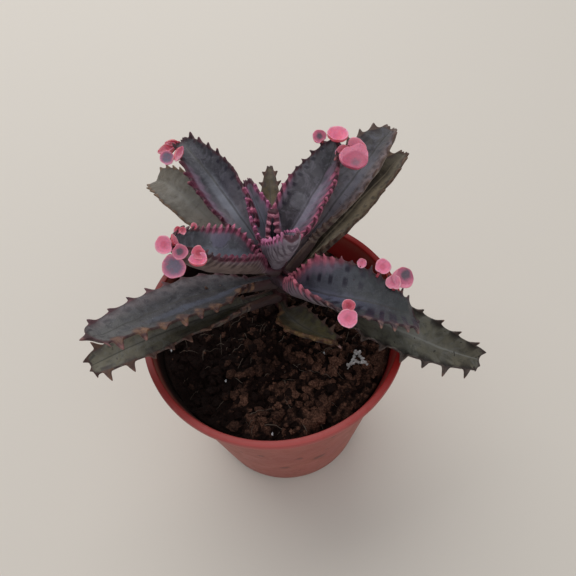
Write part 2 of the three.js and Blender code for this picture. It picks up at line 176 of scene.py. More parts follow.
def add(tree, kind, *inputs, **settings):
    """One shader node, with fields or plain values on its first inputs."""
    made = tree.nodes.new("ShaderNode" + kind)
    for name, value in settings.items():
        setattr(made, name, value)
    for socket, value in zip(made.inputs, inputs):
        feed(socket, value)
    return made


def parts(vector):
    """The three numbers of a vector."""
    return [Field(output) for output in add(vector.tree, "SeparateXYZ", vector).outputs]


def away_from(place, x, y, z):
    """Distance from a point that is given in millimetres."""
    made = add(place.tree, "VectorMath", place, (x * MM, y * MM, z * MM), operation="DISTANCE")
    return Field(made.outputs["Value"])


def step(value, low, high):
    """0 below low, 1 above high and smooth between; the other way round where low is the larger."""
    made = add(value.tree, "MapRange", value, low, high, 0.0, 1.0, interpolation_type="SMOOTHSTEP")
    return Field(made.outputs[0])


def tint(share, first, second):
    """The first colour, with a share of the second laid over it."""
    mixed = add(share.tree, "Mix", data_type="RGBA")
    feed(mixed.inputs[0], share)
    for index, value in ((6, first), (7, second)):
        feed(mixed.inputs[index], value if isinstance(value, Field) else (*value, 1))
    return Field(mixed.outputs[2])


def grain(place, scale, detail=3.0, rough=0.55, swirl=0.0):
    """Soft cloudy noise, finer as the scale grows."""
    made = add(place.tree, "TexNoise", place)
    for name, value in (("Scale", scale), ("Detail", detail), ("Roughness", rough), ("Distortion", swirl)):
        made.inputs[name].default_value = value
    return Field(made.outputs[0])


def flecks(place, scale, size):
    """1 in small round flecks and 0 between them."""
    made = add(place.tree, "TexVoronoi", place)
    made.inputs["Scale"].default_value = scale
    return step(Field(made.outputs["Distance"]), size, size * 0.5)


def new_finish(name):
    """A new material, and the place on the piece that its patterns read."""
    made = bpy.data.materials.new(name)
    made.use_nodes = True
    return made, Field(add(made.node_tree, "TexCoord").outputs["Object"])


def close_finish(colour, rough, height, rise, **fixed):
    """Joins the colour, roughness and bump to the shader, and sets its even values."""
    shader = colour.tree.nodes["Principled BSDF"]
    feed(shader.inputs["Base Color"], colour)
    feed(shader.inputs["Roughness"], rough)
    bump = add(colour.tree, "Bump")
    bump.inputs["Strength"].default_value = 1.0
    bump.inputs["Distance"].default_value = rise
    feed(bump.inputs["Height"], height)
    feed(shader.inputs["Normal"], Field(bump.outputs[0]))
    for name, value in fixed.items():
        shader.inputs[name.replace("_", " ").title().replace("Ior", "IOR")].default_value = value


def pick(*pieces):
    """Selects these pieces and nothing else, and makes the first one active."""
    bpy.ops.object.select_all(action="DESELECT")
    for piece in pieces:
        piece.select_set(True)
    bpy.context.view_layer.objects.active = pieces[0]


def settle(piece, name, node, finish=None):
    """Names and coats a finished piece, rests it on the one body and hides the solid it stands for."""
    if finish:
        piece.data.materials.clear()
        piece.data.materials.append(finish)
    piece.name = name
    piece.data.name = name
    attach(piece, "root")
    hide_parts(node)


def use_modifier(piece, kind, **settings):
    """Adds a modifier with these settings and applies it."""
    made = piece.modifiers.new(kind.lower(), kind)
    for name, value in settings.items():
        setattr(made, name, value)
    bpy.context.view_layer.objects.active = piece
    bpy.ops.object.modifier_apply(modifier=made.name)


def turned(profile, sides, centre=(0, 0), unit=MM, closed=True):
    """A ring drawn out along a profile. A fan closes its far end and, where it is closed, its near end."""
    bpy.ops.object.select_all(action="DESELECT")
    x, y = centre[0] * unit, centre[1] * unit
    radius, height = profile[0]
    bpy.ops.mesh.primitive_circle_add(vertices=sides, radius=radius * unit, location=(x, y, height * unit))
    piece = bpy.context.object
    bpy.ops.object.transform_apply(location=True, rotation=False, scale=False)
    bpy.ops.object.mode_set(mode="EDIT")
    bpy.ops.mesh.select_mode(type="EDGE")
    bpy.ops.mesh.select_all(action="SELECT")
    for wide, high in profile[1:]:
        share = wide / radius
        bpy.ops.mesh.extrude_edges_move(TRANSFORM_OT_translate={"value": (0, 0, (high - height) * unit)})
        bpy.ops.transform.resize(value=(share, share, 1), center_override=(x, y, high * unit))
        radius, height = wide, high
    bpy.ops.mesh.extrude_edges_move()
    bpy.ops.mesh.merge(type="COLLAPSE")
    if closed:
        bpy.ops.mesh.select_all(action="DESELECT")
        bpy.ops.object.mode_set(mode="OBJECT")
        wide, low = profile[0][0] * unit, profile[0][1] * unit
        for edge in piece.data.edges:
            ends = [piece.data.vertices[i].co for i in edge.vertices]
            off_ring = [abs(math.hypot(end.x - x, end.y - y) - wide) for end in ends]
            edge.select = max(off_ring) < 1e-5 and all(abs(end.z - low) < 1e-6 for end in ends)
        bpy.ops.object.mode_set(mode="EDIT")
        bpy.ops.mesh.extrude_edges_move()
        bpy.ops.mesh.merge(type="COLLAPSE")
    bpy.ops.mesh.select_all(action="SELECT")
    bpy.ops.mesh.normals_make_consistent(inside=False)
    bpy.ops.object.mode_set(mode="OBJECT")
    return piece


pot = turned(POT_PROFILE, POT_SIDES)
drills = []
for i in range(DRAIN_COUNT):
    turn = (i + 0.5) * math.tau / DRAIN_COUNT
    bpy.ops.mesh.primitive_cylinder_add(
        vertices=24,
        radius=DRAIN_RADIUS * MM,
        depth=6 * MM,
        location=(DRAIN_RING * MM * math.cos(turn), DRAIN_RING * MM * math.sin(turn), 0),
    )
    drills.append(bpy.context.object)
for drill in drills:
    use_modifier(pot, "BOOLEAN", object=drill, operation="DIFFERENCE", solver="EXACT")
    bpy.data.objects.remove(drill)
pick(pot)
bpy.ops.object.shade_smooth_by_angle(angle=math.radians(40))

plastic, place = new_finish("pot_plastic")
rightward, backward, height = parts(place)
off_axis = add(place.tree, "CombineXYZ", rightward, backward, 0.0)
span = add(place.tree, "VectorMath", Field(off_axis.outputs[0]), operation="LENGTH")
radius = Field(span.outputs["Value"])
inside = step(height * POT_FLARE + POT_FOOT_RADIUS * MM - radius, 0.0002, 0.0007)
lip = step(height, 0.0561, 0.0566) * step(radius, 0.0306, 0.0309)
outside = 1.0 - (inside | lip)
stain = grain(place, 210, 5.0, 0.65, 0.8)
# Painted reflection: the front of the lip is made a paler pink, as the sky reflected on it.
front = step(stain * 0.012 + backward, -0.012, -0.026)
# Painted shade: the lip's red is darker on its left side.
lip_red_shaded_left = tint(step(rightward, -0.014, -0.03), (0.27, 0.008, 0.006), (0.2, 0.014, 0.011))
body = tint(step(grain(place, 70, 4.0, 0.6), 0.3, 0.7), (0.29, 0.05, 0.036), (0.34, 0.075, 0.053))
body = tint(lip, body, tint(front, lip_red_shaded_left, (0.37, 0.058, 0.053)))
# Painted glow: the inner wall is a clean saturated red, as light shines in through the thin plastic.
body = tint(inside, body, (0.25, 0.015, 0.013))
# Painted shade: the inner wall on the left, above the soil and below the lip, is made near black.
painted_shade_inside = step(stain * 0.016 + rightward, 0.004, -0.004) * step(height, 0.0585, 0.055)
body = tint(painted_shade_inside * inside, body, (0.012, 0.006, 0.005))
dust = step(grain(place, 130, 6.0, 0.7, 0.6), 0.42, 0.78) * outside
body = tint(dust * 0.4, body, (0.21, 0.125, 0.09))
# A patchy grey-brown band under the lip on the left: dust, with painted shade of the lip.
lip_shade_and_dust = step(height, 0.047, 0.054) * step(rightward, 0.002, -0.02) * step(stain, 0.34, 0.6)
body = tint(lip_shade_and_dust * outside * 0.65, body, (0.17, 0.11, 0.08))
ragged = grain(place, 700, 4.0, 0.7) * 0.0024 - 0.0012
speck = flecks(place, 330, 0.13) * step(grain(place, 100), 0.52, 0.62)
for x, y, z, size in SMUDGES:
    speck = speck | step(away_from(place, x, y, z) + ragged, size * MM, size * 0.35 * MM)
speck = speck * outside
body = tint(speck * 0.75, body, (0.09, 0.018, 0.012))
shine = dust * 0.2 + stain * 0.2 + 0.36
close_finish(body, shine, grain(place, 2600, 2.0) + speck * 2.0, 0.00004, specular_ior_level=0.4)
settle(pot, "pot_shell", "pot", plastic)

# Soil: damp dark peat pressed into the pot by hand, with loose crumbs, bark chunks, pale fibres and a few
# grains of grit on its top. The top sinks into a hollow at the left, painted dark as shade, and rises at the
# front right.
SOIL_FOOT = 1.7
SOIL_TOP = 51.9
SOIL_EDGE = 28.95
SOIL_CLEARANCE = 1.15
SOIL_SIDES = 168
SOIL_RINGS = 42
HOLLOW_AT, HOLLOW_SIZE, HOLLOW_DEPTH = (-21.0, -13.5), 6.5, 3.2
MOUND_AT, MOUND_SIZE, MOUND_HEIGHT = (10.0, -22.5), 8.5, 0.7
CLUMPS = ((-6.6, -23.8, 3.4), (6.8, -24.2, 2.8), (-11.0, -17.2, 2.6), (1.2, -15.5, 2.2), (23.5, -11.5, 3.6))
CRYSTALS = ((-2.8, -26.8), (11.8, -4.9), (11.5, -7.4), (-26.9, -2.1), (-23.7, -16.9), (-13.3, -11.8))
CRUMB_COUNT = 3300
CRUMB_SHAPES = 7
FIBRE_COUNT = 110
FIBRE_STEPS = 7
PALEST_SOIL = 0.78
FIBRE_TONE = 0.86
soil_draw = random.Random(11)


def near(x, y, u, v, size, sharp=1):
    """1 at a place on the soil, fading to 0 around it."""
    return math.exp(-(((x - u) ** 2 + (y - v) ** 2) / size ** 2) ** sharp)


def soil_height(x, y):
    """Height of the soil's top in millimetres, from its broad lumps down to its crumbs."""
    broad = math.sin(x * 0.31 + 1.2) * math.cos(y * 0.27 - 0.4)
    broad += 0.6 * math.sin(x * 0.83 - y * 0.61) * math.cos(y * 0.74 + x * 0.22)
    hollow = HOLLOW_DEPTH * near(x, y, *HOLLOW_AT, HOLLOW_SIZE)
    mound = MOUND_HEIGHT * near(x, y, *MOUND_AT, MOUND_SIZE)
    lumps = 1.3 * noise.fractal(Vector((x * 0.3, y * 0.3, 3.7)), 0.7, 2.1, 5)
    crumbs = 0.9 * noise.noise(Vector((x * 0.8, y * 0.8, 9.1)))
    crumbs += 0.5 * noise.noise(Vector((x * 1.9, y * 1.9, 4.4)))
    heap = sum(0.8 * near(x, y, *clump) for clump in CLUMPS)
    return SOIL_TOP - 0.7 + 0.55 * broad + lumps + crumbs + heap - hollow + mound


def soil_tone_and_shade(x, y, high):
    """Lightness of the soil: pale clumps, painted light on lump tops, painted shade in cracks and the hollow.
    """
    around = sum(soil_height(x + u, y + v) for u, v in ((1.3, 0), (-1.3, 0), (0, 1.3), (0, -1.3))) / 4
    clump = sum(near(x, y, *clump, sharp=2) for clump in CLUMPS)
    front = max(0.0, 1 - math.hypot(x - 5, y + 20) / 22)
    hollow = near(x, y, *HOLLOW_AT, 1.3 * HOLLOW_SIZE)
    right = min(1.0, max(-1.0, (x - 2) / 16))
    # Painted light and shade: the tops of lumps are paler, and the cracks and the hollow darker.
    tone = 0.19 + 0.5 * (high - around) + 0.42 * clump + 0.2 * front + 0.2 * right - 0.4 * hollow
    return min(PALEST_SOIL, max(0.0, tone))


def mark(mesh, name, values):
    """Puts a number on every point of a mesh for its material to read: the same one, or one for each."""
    if isinstance(values, float):
        values = [values] * len(mesh.vertices)
    mesh.attributes.new(name, "FLOAT", "POINT").data.foreach_set("value", values)


def marked(place, name, output="Fac"):
    """What a mesh's points are marked with, read by its material."""
    return Field(add(place.tree, "Attribute", attribute_name=name).outputs[output])


foot_radius = POT_FOOT_RADIUS + POT_FLARE * SOIL_FOOT - SOIL_CLEARANCE
soil_profile = [(foot_radius * 0.5, SOIL_FOOT), (foot_radius, SOIL_FOOT), (SOIL_EDGE, SOIL_TOP)]
soil_profile += [(SOIL_EDGE * (1 - i / (SOIL_RINGS + 1)), SOIL_TOP) for i in range(1, SOIL_RINGS + 1)]
soil = turned(soil_profile, SOIL_SIDES)
for vertex in soil.data.vertices:
    if vertex.co.z > (SOIL_TOP - 1) * MM:
        vertex.co.z = soil_height(vertex.co.x / MM, vertex.co.y / MM) * MM
pick(soil)
bpy.ops.object.shade_smooth()
mark(soil.data, "tone", [soil_tone_and_shade(v.co.x / MM, v.co.y / MM, v.co.z / MM) for v in soil.data.vertices])

crumb_shapes = []
for i in range(CRUMB_SHAPES):
    bpy.ops.mesh.primitive_ico_sphere_add(subdivisions=2 if i < 3 else 1, radius=MM)
    crumb = bpy.context.object
    for vertex in crumb.data.vertices:
        vertex.co *= 1 + 0.9 * noise.noise(vertex.co * 1400 + Vector((i * 7.3, 0, 0)))
        vertex.co.z *= 0.22 + 0.08 * i
    bpy.ops.object.shade_flat()
    crumb_shapes.append(crumb)


def scattered_place(draw, reach):
    """A random place on the soil within reach of the pot's axis, in millimetres."""
    distance = reach * math.sqrt(draw.random())
    turn = draw.random() * math.tau
    return distance * math.cos(turn), distance * math.sin(turn)


def strewn(name, shape, x, y, z, posed):
    """A copy of a loose bit, turned and sized by its pose and laid at a place in millimetres."""
    bit = shape.data.copy()
    bit.transform(Matrix.Translation((x * MM, y * MM, z * MM)) @ posed)
    return placed(name, bit)


loose = []
for i in range(CRUMB_COUNT):
    size = 0.2 + 1.15 * soil_draw.random() ** 4.5
    x, y = scattered_place(soil_draw, SOIL_EDGE - 0.6 - size)
    shape = crumb_shapes[soil_draw.randrange(CRUMB_SHAPES)]
    lean = Matrix.Rotation(soil_draw.uniform(-0.7, 0.7), 4, (soil_draw.random(), soil_draw.random(), 0.1))
    spin = Matrix.Rotation(soil_draw.random() * math.tau, 4, "Z")
    grow = Matrix.Diagonal((size * soil_draw.uniform(0.7, 1.4), size, size * soil_draw.uniform(0.7, 1.1), 1))
    lift = soil_height(x, y) + size * soil_draw.uniform(-0.1, 0.45)
    crumb = strewn("crumb", shape, x, y, lift, spin @ lean @ grow)
    tone = soil_tone_and_shade(x, y, soil_height(x, y) + 0.15) + soil_draw.uniform(-0.3, 0.28)
    mark(crumb.data, "tone", min(PALEST_SOIL, tone))
    loose.append(crumb)
for x, y in CRYSTALS:
    crystal = strewn("crystal", crumb_shapes[4], x, y, soil_height(x, y) + 0.5, Matrix.Scale(0.42, 4))
    mark(crystal.data, "tone", 1.0)
    loose.append(crystal)
for shape in crumb_shapes:
    bpy.data.objects.remove(shape)

fibres = bpy.data.curves.new("fibres", "CURVE")
fibres.dimensions = "3D"
fibres.bevel_depth = 0.085 * MM
fibres.bevel_resolution = 0
fibres.use_fill_caps = True
for i in range(FIBRE_COUNT):
    x, y = scattered_place(soil_draw, SOIL_EDGE - 3.5)
    turn = soil_draw.random() * math.tau
    bend = soil_draw.uniform(-0.16, 0.16)
    stride = soil_draw.uniform(1.4, 6.0) / FIBRE_STEPS
    arch = soil_draw.uniform(0.2, 1.1)
    thick = soil_draw.uniform(0.5, 1.5)
    strand = fibres.splines.new("POLY")
    strand.points.add(FIBRE_STEPS)
    for j, point in enumerate(strand.points):
        lift = soil_height(x, y) + (arch * math.sin(math.pi * j / FIBRE_STEPS) + 0.1)
        point.co = (x * MM, y * MM, lift * MM, 1)
        point.radius = thick * (1 - 0.5 * j / FIBRE_STEPS)
        if math.hypot(x, y) <= SOIL_EDGE - 1:
            x, y = x + stride * math.cos(turn), y + stride * math.sin(turn)
        turn += bend
strands = placed("fibres", fibres)
pick(strands)
bpy.ops.object.convert(target="MESH")
strands = bpy.context.object
mark(strands.data, "tone", FIBRE_TONE)
pick(soil, strands, *loose)
bpy.ops.object.join()

peat, place = new_finish("damp_peat")
tone = marked(place, "tone")
coarse = grain(place, 420, 5.0, 0.65)
fine = grain(place, 2400, 4.0, 0.7)
shade = coarse * 0.45 + tone - 0.33 + grain(place, 1100, 4.0, 0.7) * 0.6 - 0.3
dark = tint(step(fine, 0.3, 0.7), (0.0025, 0.0007, 0.0004), (0.014, 0.005, 0.0034))
brown = tint(step(fine, 0.38, 0.68), (0.05, 0.02, 0.0135), (0.178, 0.088, 0.058))
body = tint(step(shade, 0.15, 0.8), dark, brown)
body = tint(step(tone, 0.8, 0.84), body, (0.13, 0.1, 0.08))
body = tint(step(tone, 0.95, 0.99), body, (0.6, 0.6, 0.62))
close_finish(body, coarse * 0.3 + 0.62, fine, 0.00025, specular_ior_level=0.12)
settle(soil, "soil_bed", "soil", peat)

# Grit: one clump of dry white crumb that lies on the soil in a crooked fork, made of small grains
# that cling together.
FORK = (
    ((19.0, -8.4), (20.2, -8.2), 10),
    ((20.2, -8.4), (20.9, -12.3), 26),
    ((18.9, -8.8), (18.2, -10.6), 12),
    ((18.3, -10.8), (20.8, -11.4), 22),
    ((18.4, -10.8), (16.6, -12.4), 22),
    ((20.6, -11.4), (21.4, -12.6), 10),
)
grit_draw = random.Random(5)

bpy.ops.mesh.primitive_ico_sphere_add(subdivisions=2, radius=MM)
grain_shape = bpy.context.object
for vertex in grain_shape.data.vertices:
    vertex.co *= 1 + 0.5 * noise.noise(vertex.co * 1700)
bpy.ops.object.shade_smooth()
grains = []
for start, end, count in FORK:
    for i in range(count):
        share = (i + grit_draw.random()) / count
        x = start[0] + (end[0] - start[0]) * share + grit_draw.uniform(-0.35, 0.35)
        y = start[1] + (end[1] - start[1]) * share + grit_draw.uniform(-0.35, 0.35)
        size = 0.16 + 0.32 * grit_draw.random() ** 1.6
        turn = Matrix.Rotation(grit_draw.random() * math.tau, 4, (grit_draw.random(), 0.3, 1))
        grow = Matrix.Diagonal((size, size * 0.8, size * 0.8, 1))
        lift = soil_height(x, y) + grit_draw.uniform(1.0, 1.7)
        grains.append(strewn("grain", grain_shape, x, y, lift, turn @ grow))
bpy.data.objects.remove(grain_shape)
pick(*grains)
bpy.ops.object.join()

chalk, place = new_finish("dry_grit")
body = tint(step(grain(place, 700), 0.35, 0.65), (0.3, 0.28, 0.27), (0.62, 0.6, 0.6))
close_finish(body, 0.9, grain(place, 3000, 4.0, 0.7), 0.00015)
settle(bpy.context.object, "grit_clump", "grit_crumb", chalk)

# Stem: one short upright stem, rooted in the soil and purple-brown, with a thickened ring at each pair of
# leaves. It ends in the growing point between the youngest leaves.
STEM_AT = (1.9, 8.8)
STEM_FOOT = 40.0
STEM_LENGTH = 29.5
STEM_NODES = (56.8, 60.4, 62.7, 65.1, 67.7)
STEM_RINGS = 60
STEM_SIDES = 28

stem_profile = [(1.2, STEM_FOOT)]
for i in range(STEM_RINGS):
    height = STEM_FOOT + 0.2 + i * 0.485
    ring = max(math.exp(-(((height - node) / 0.5) ** 2)) for node in STEM_NODES)
    stem_profile.append((2.25 - 0.75 * (height - STEM_FOOT) / STEM_LENGTH + 0.1 * ring, height))
stem_profile += [(1.1, 69.1), (0.5, 69.4)]
stem = turned(stem_profile, STEM_SIDES, STEM_AT)
bpy.ops.object.shade_smooth()
bark, place = new_finish("stem_skin")
drawn = add(place.tree, "VectorMath", place, (1, 1, 0.15), operation="MULTIPLY")
streak = grain(Field(drawn.outputs[0]), 1500, 4.0)
body = tint(step(streak, 0.35, 0.65), (0.026, 0.008, 0.009), (0.078, 0.029, 0.029))
close_finish(body, 0.5, streak, 0.0001)
settle(stem, "stem_shoot", "stem", bark)

# Old leaves: four outer leaves in two pairs, thick and channelled, dull olive grey above and grey-brown with
# dark stripes below. Their margins bear hooked brown teeth, each with a dark blotch at its foot.
BOW = 0.9
STALK_WIDTH = 0.2
MARGIN_THICKNESS = 0.45
KEEL_THICKNESS = 2.0
KEEL_THINNING = 0.5
REACH = 0.36
DENTS = ((0.2, 0.42), (0.5, 0.18))
BLADE_COLUMNS = (0.0, 0.14, 0.3, 0.46, 0.62, 0.76, 0.87, 0.94, 1.0)
NEAR_MARGIN = (0, 0, 0, 0, 0, 0.02, 0.12, 0.4, 1.0)
TIP_CLAWS = (
    (-1.0, 0.9, 0.26, -26), (-0.46, 0.7, 0.3, -10), (0.14, 1.0, 0.3, 0),
    (0.62, 0.8, 0.3, 14), (1.0, 0.7, 0.26, 28),
)
LAST_TOOTH = 0.978
BLADE_END = 0.993
CLAWS_FROM, CLAWS_RISE = 0.972, 0.02
TOOTH_SHAPE = (
    (-1.0, 0.0, -0.1), (-0.68, 0.02, 0.06), (-0.28, 0.1, 0.36), (0.0, 0.3, 0.74),
    (0.25, 0.6, 1.0), (0.45, 0.22, 0.56), (0.66, -0.05, 0.18), (0.95, 0.0, -0.08),
)


def smooth(value):
    """0 up to 0 and 1 from 1, with a soft rise between."""
    value = np.clip(value, 0, 1)
    return value * value * (3 - 2 * value)


def width_share(leaf, share):
    """Width of the blade as a share of its full width: stalk, lobe, slow taper and blunt round tip."""
    lobe_end = leaf["stalk"] + leaf["lobe"]
    widened = STALK_WIDTH + (1 - STALK_WIDTH) * smooth((share - leaf["stalk"]) / leaf["lobe"])
    beyond = np.clip((share - lobe_end) / (1 - lobe_end), 0, 1)
    taper = (1 - leaf["blunt"]) * (1 - np.cos(beyond * np.pi / 2) ** 0.9)
    end = np.clip((share - 1 + leaf["round"]) / leaf["round"], 0, 1)
    return (widened - taper) * np.sqrt(1 - end * end)


def heading(azimuth, elevation):
    """The direction at these angles in degrees, level to the right at 0."""
    turn, lift = math.radians(azimuth), math.radians(elevation)
    return math.cos(turn) * math.cos(lift), math.sin(turn) * math.cos(lift), math.sin(lift)


def midrib(leaf, share):
    """Points on the midrib and its direction times its speed there, in millimetres."""
    base = np.array((*STEM_AT, leaf["node"]))
    tip = np.array(leaf["tip"])
    run = tip - base
    azimuth = math.degrees(math.atan2(run[1], run[0]))
    reach = float(np.linalg.norm(run)) * REACH
    leaves = np.array(heading(azimuth + leaf["swing"], leaf["rise"][0]))
    arrives = np.array(heading(azimuth - leaf["swing"], leaf["rise"][1]))
    control = (base, base + leaves * reach, tip - arrives * reach, tip)
    t = np.asarray(share)[:, None]
    point = (
        (1 - t) ** 3 * control[0]
        + 3 * (1 - t) ** 2 * t * control[1]
        + 3 * (1 - t) * t * t * control[2]
        + t ** 3 * control[3]
    )
    speed = (
        3 * (1 - t) ** 2 * (control[1] - control[0])
        + 6 * (1 - t) * t * (control[2] - control[1])
        + 3 * t * t * (control[3] - control[2])
    )
    return point, speed


def blade_rows(leaf, length, draw):
    """Rows across the blade: share of the length, tooth number, and how far along and out the margin goes."""
    first = leaf["stalk"] + leaf["lobe"] * 0.1
    count = leaf["teeth"]
    bounds = first + (LAST_TOOTH - first) * (np.arange(count + 1) / count) ** leaf["spread"]
    bounds[1:-1] += [draw.uniform(-0.14, 0.14) * gap for gap in np.diff(bounds)[1:]]
    rows = []
    for k in range(count):
        pitch = (bounds[k + 1] - bounds[k]) * length
        half = min(0.42 * pitch, leaf["half_tooth"])
        middle = (bounds[k] + bounds[k + 1]) / 2
        grown = leaf["tooth"][0] + (leaf["tooth"][1] - leaf["tooth"][0]) * (k + 0.5) / count
        rows.append((bounds[k] + 0.01 * pitch / length, k - 0.5, 0.0, leaf["scallop"] * grown))
        for inner, lean, out in TOOTH_SHAPE:
            rows.append((middle + inner * half / length, k + inner * half / pitch, lean * half, out * grown))
    foot = rows[0][0]
    stalk = [(foot * i / 7, -0.5, 0.0, 0.0) for i in range(7)]
    end = rows[-1][0]
    tip = [(end + (BLADE_END - end) * share, count - 0.5, 0.0, 0.0) for share in (0.35, 0.7, 1.0)]
    return np.array(stalk + rows + tip)


def dented(points, seed):
    """Height of the broad, shallow dents and ripples of a fleshy leaf at each point, in millimetres."""
    start = Vector((seed, 0, 0))
    return np.array([
        sum(high * noise.noise(Vector(point) * scale + start) for scale, high in DENTS) for point in points
    ])


def grow_blade(leaf, draw):
    """The blade as a fine grid: bent along its midrib, folded into a channel, toothed and thickened."""
    even = midrib(leaf, np.linspace(0, 1, 200))[0]
    length = float(np.linalg.norm(np.diff(even, axis=0), axis=1).sum())
    rows = blade_rows(leaf, length, draw)
    share, tooth, ahead, out = rows.T
    centre, speed = midrib(leaf, share)
    along = speed / np.linalg.norm(speed, axis=1)[:, None]
    side = np.cross(along, (0, 0, 1))
    side /= np.linalg.norm(side, axis=1)[:, None]
    lift = np.cross(side, along)
    roll = np.radians(leaf["roll"][0] + (leaf["roll"][1] - leaf["roll"][0]) * share)[:, None]
    side, lift = side * np.cos(roll) + lift * np.sin(roll), lift * np.cos(roll) - side * np.sin(roll)
    opened = 0.5 * (1 + np.cos(np.pi * np.minimum(share / leaf["open"], 1)))
    fold = np.radians(leaf["fold"][1] + (leaf["fold"][0] - leaf["fold"][1]) * opened)
    half = leaf["wide"] / 2 * width_share(leaf, share)
    columns = [(-a, n) for a, n in zip(BLADE_COLUMNS[:0:-1], NEAR_MARGIN[:0:-1])]
    columns += list(zip(BLADE_COLUMNS, NEAR_MARGIN))
    points = np.zeros((len(rows), len(columns), 3))
    marks = np.zeros((len(rows), len(columns), 4))
    thick = np.zeros((len(rows), len(columns)))
    strength = {}
    for sign in (-1, 1):
        strength[sign] = [draw.uniform(*leaf["uneven"]) for _ in range(leaf["teeth"] + 2)]
    seed = draw.random() * 90
    start, turn = fold * (1 - BOW / 2), fold * BOW
    end = smooth((share - CLAWS_FROM) / CLAWS_RISE)
    for j, (place_across, near) in enumerate(columns):
        sign = -1 if place_across < 0 else 1
        right = int(sign > 0)
        a = abs(place_across)
        slope = start + turn * a
        flat = (np.sin(slope) - np.sin(start)) / turn
        high = (np.cos(start) - np.cos(slope)) / turn
        spot = centre + side * (sign * half * flat)[:, None] + lift * (half * high)[:, None]
        outward = side * (sign * np.cos(slope))[:, None] + lift * np.sin(slope)[:, None]
        above = lift * np.cos(slope)[:, None] - side * (sign * np.sin(slope))[:, None]
        grown = np.array([strength[sign][int(np.clip(round(t), 0, leaf["teeth"]))] for t in tooth])
        reach = out * grown * leaf["sides"][right] * near
        hook = ahead * leaf["hook"][right] * near
        spot += outward * reach[:, None] + along * hook[:, None]
        wave = np.cos(2 * np.pi * tooth) * (tooth > -0.5)
        curl = near * (leaf["curl"][right] * out * grown + leaf["wave"] * wave)
        curl = curl + dented(spot, seed) * (1 - 0.6 * near) * smooth(share / 0.2)
        spot += above * curl[:, None]
        spike = np.zeros(len(rows))
        for at, size, broad, lean in leaf["claws"]:
            claw = end * leaf["tip_tooth"] * size * max(0.0, 1 - abs(place_across - at) / broad)
            lean = math.radians(lean)
            spot += along * (claw * math.cos(lean))[:, None] + side * (claw * math.sin(lean))[:, None]
            spike += claw
        points[:, j] = spot
        marks[:, j, 0] = place_across
        marks[:, j, 1] = share
        marks[:, j, 2] = tooth
        marks[:, j, 3] = np.minimum((1 - a) * half, (BLADE_END - share) * length) - reach - spike
        body = KEEL_THICKNESS * (1 - a * a) * (1 - KEEL_THINNING * share) * (1 - 0.9 * end)
        pink = 1 - smooth((share - leaf["pink_to"][right] + 0.1) / 0.2)
        knob = leaf["bead"] * pink * np.clip(out / leaf["tooth"][0], 0, 1) * grown ** 2 * near
        thick[:, j] = leaf["margin"] * (1 - 0.3 * end) + body + knob
    return points, marks, thick


def make_leaf(name, leaf, upper, under, draw):
    """One leaf: the grown blade as a mesh, given its thickness, its two skins and its marks for them."""
    points, marks, thick = grow_blade(leaf, draw)
    rows, columns = points.shape[:2]
    bpy.ops.object.select_all(action="DESELECT")
    bpy.ops.mesh.primitive_grid_add(x_subdivisions=columns - 1, y_subdivisions=rows - 1, size=0.04)
    blade = bpy.context.object
    mesh = blade.data
    mesh.vertices.foreach_set("co", (points * MM).ravel())
    mesh.update()
    body = blade.vertex_groups.new(name="body")
    limit = float(thick.max())
    for index, value in enumerate(thick.ravel()):
        body.add([index], float(value) / limit, "REPLACE")
    mesh.materials.append(upper)
    mesh.materials.append(under)
    use_modifier(
        blade,
        "SOLIDIFY",
        thickness=limit * MM,
        offset=-1,
        vertex_group="body",
        use_rim=True,
        material_offset=1,
        material_offset_rim=0,
    )
    blade.vertex_groups.clear()
    both = np.concatenate([marks.reshape(-1, 4)] * 2)
    mesh.attributes.new("blade", "FLOAT_VECTOR", "POINT").data.foreach_set("vector", both[:, :3].ravel())
    mark(mesh, "edge", both[:, 3])
    use_modifier(blade, "SUBSURF", levels=1, render_levels=1)
    bpy.ops.object.shade_smooth()
    settle(blade, name + "_blade", name)


def leaf_marks(place):
    """Where a point is on the blade: distance across, along, in teeth, and in millimetres from the margin."""
    signed, along, tooth = parts(marked(place, "blade", "Vector"))
    return signed, along, tooth, marked(place, "edge")


def by_side(signed, values):
    """One value on each side of the midrib."""
    return step(signed, -0.02, 0.02) * (values[1] - values[0]) + values[0]


def pink_zone(signed, along, look):
    """1 on the pink stretch of each margin, 0 on the stalk and towards the tip."""
    return step(along - by_side(signed, look["pink_to"]), 0.1, -0.1) * step(along, 0.04, 0.16)


def beat(turns):
    """1 at each whole number and 0 halfway between."""
    return (turns * math.tau).math("COSINE") * 0.5 + 0.5


def lay(body, look, colour, mask):
    """Lays one of the look's colours over the body, where the mask says and by the colour's own share."""
    return tint(mask * look[colour + "_share"], body, look[colour])


def paint_margin(look, body, place, marks, jitter):
    """The margin: a pink or brown band that widens at each tooth, dark chevrons in the gaps, pale points."""
    signed, along, tooth, edge = marks
    zone = pink_zone(signed, along, look)
    wave = beat(tooth - edge * look["slant"]) + jitter
    pink_band = by_side(signed, look["pink_band"])
    wide = Field(add(place.tree, "MapRange", zone, 0.0, 1.0, look["band"], pink_band).outputs[0])
    band = wide * (1.0 - by_side(signed, look["comb"]) * (1.0 - wave))
    ratio = (edge + jitter * 0.6) / band
    patch = step(grain(place, 620, 3.0, 0.6), 0.36, 0.66)
    rosy = tint(patch, *look["pink"])
    rosy = tint(step(wave, 0.7, 0.3) * look["knob_share"], rosy, look["rose_dark"])
    rosy = tint(by_side(signed, look["dim"]), rosy, look["rose_dark"])
    body = lay(body, look, "inner", step(ratio, 1.9, 1.0) * zone)
    margin = step(ratio, 1.05, look["fade"])
    body = tint(margin * look["margin_share"], body, tint(zone, tint(patch, *look["margin"]), rosy))
    body = lay(body, look, "notch", step(wave, 0.42, 0.12) * step(edge, look["notch_reach"], 0.2))
    return lay(body, look, "point", step(edge, look["point_from"], look["point_from"] * 2.2))


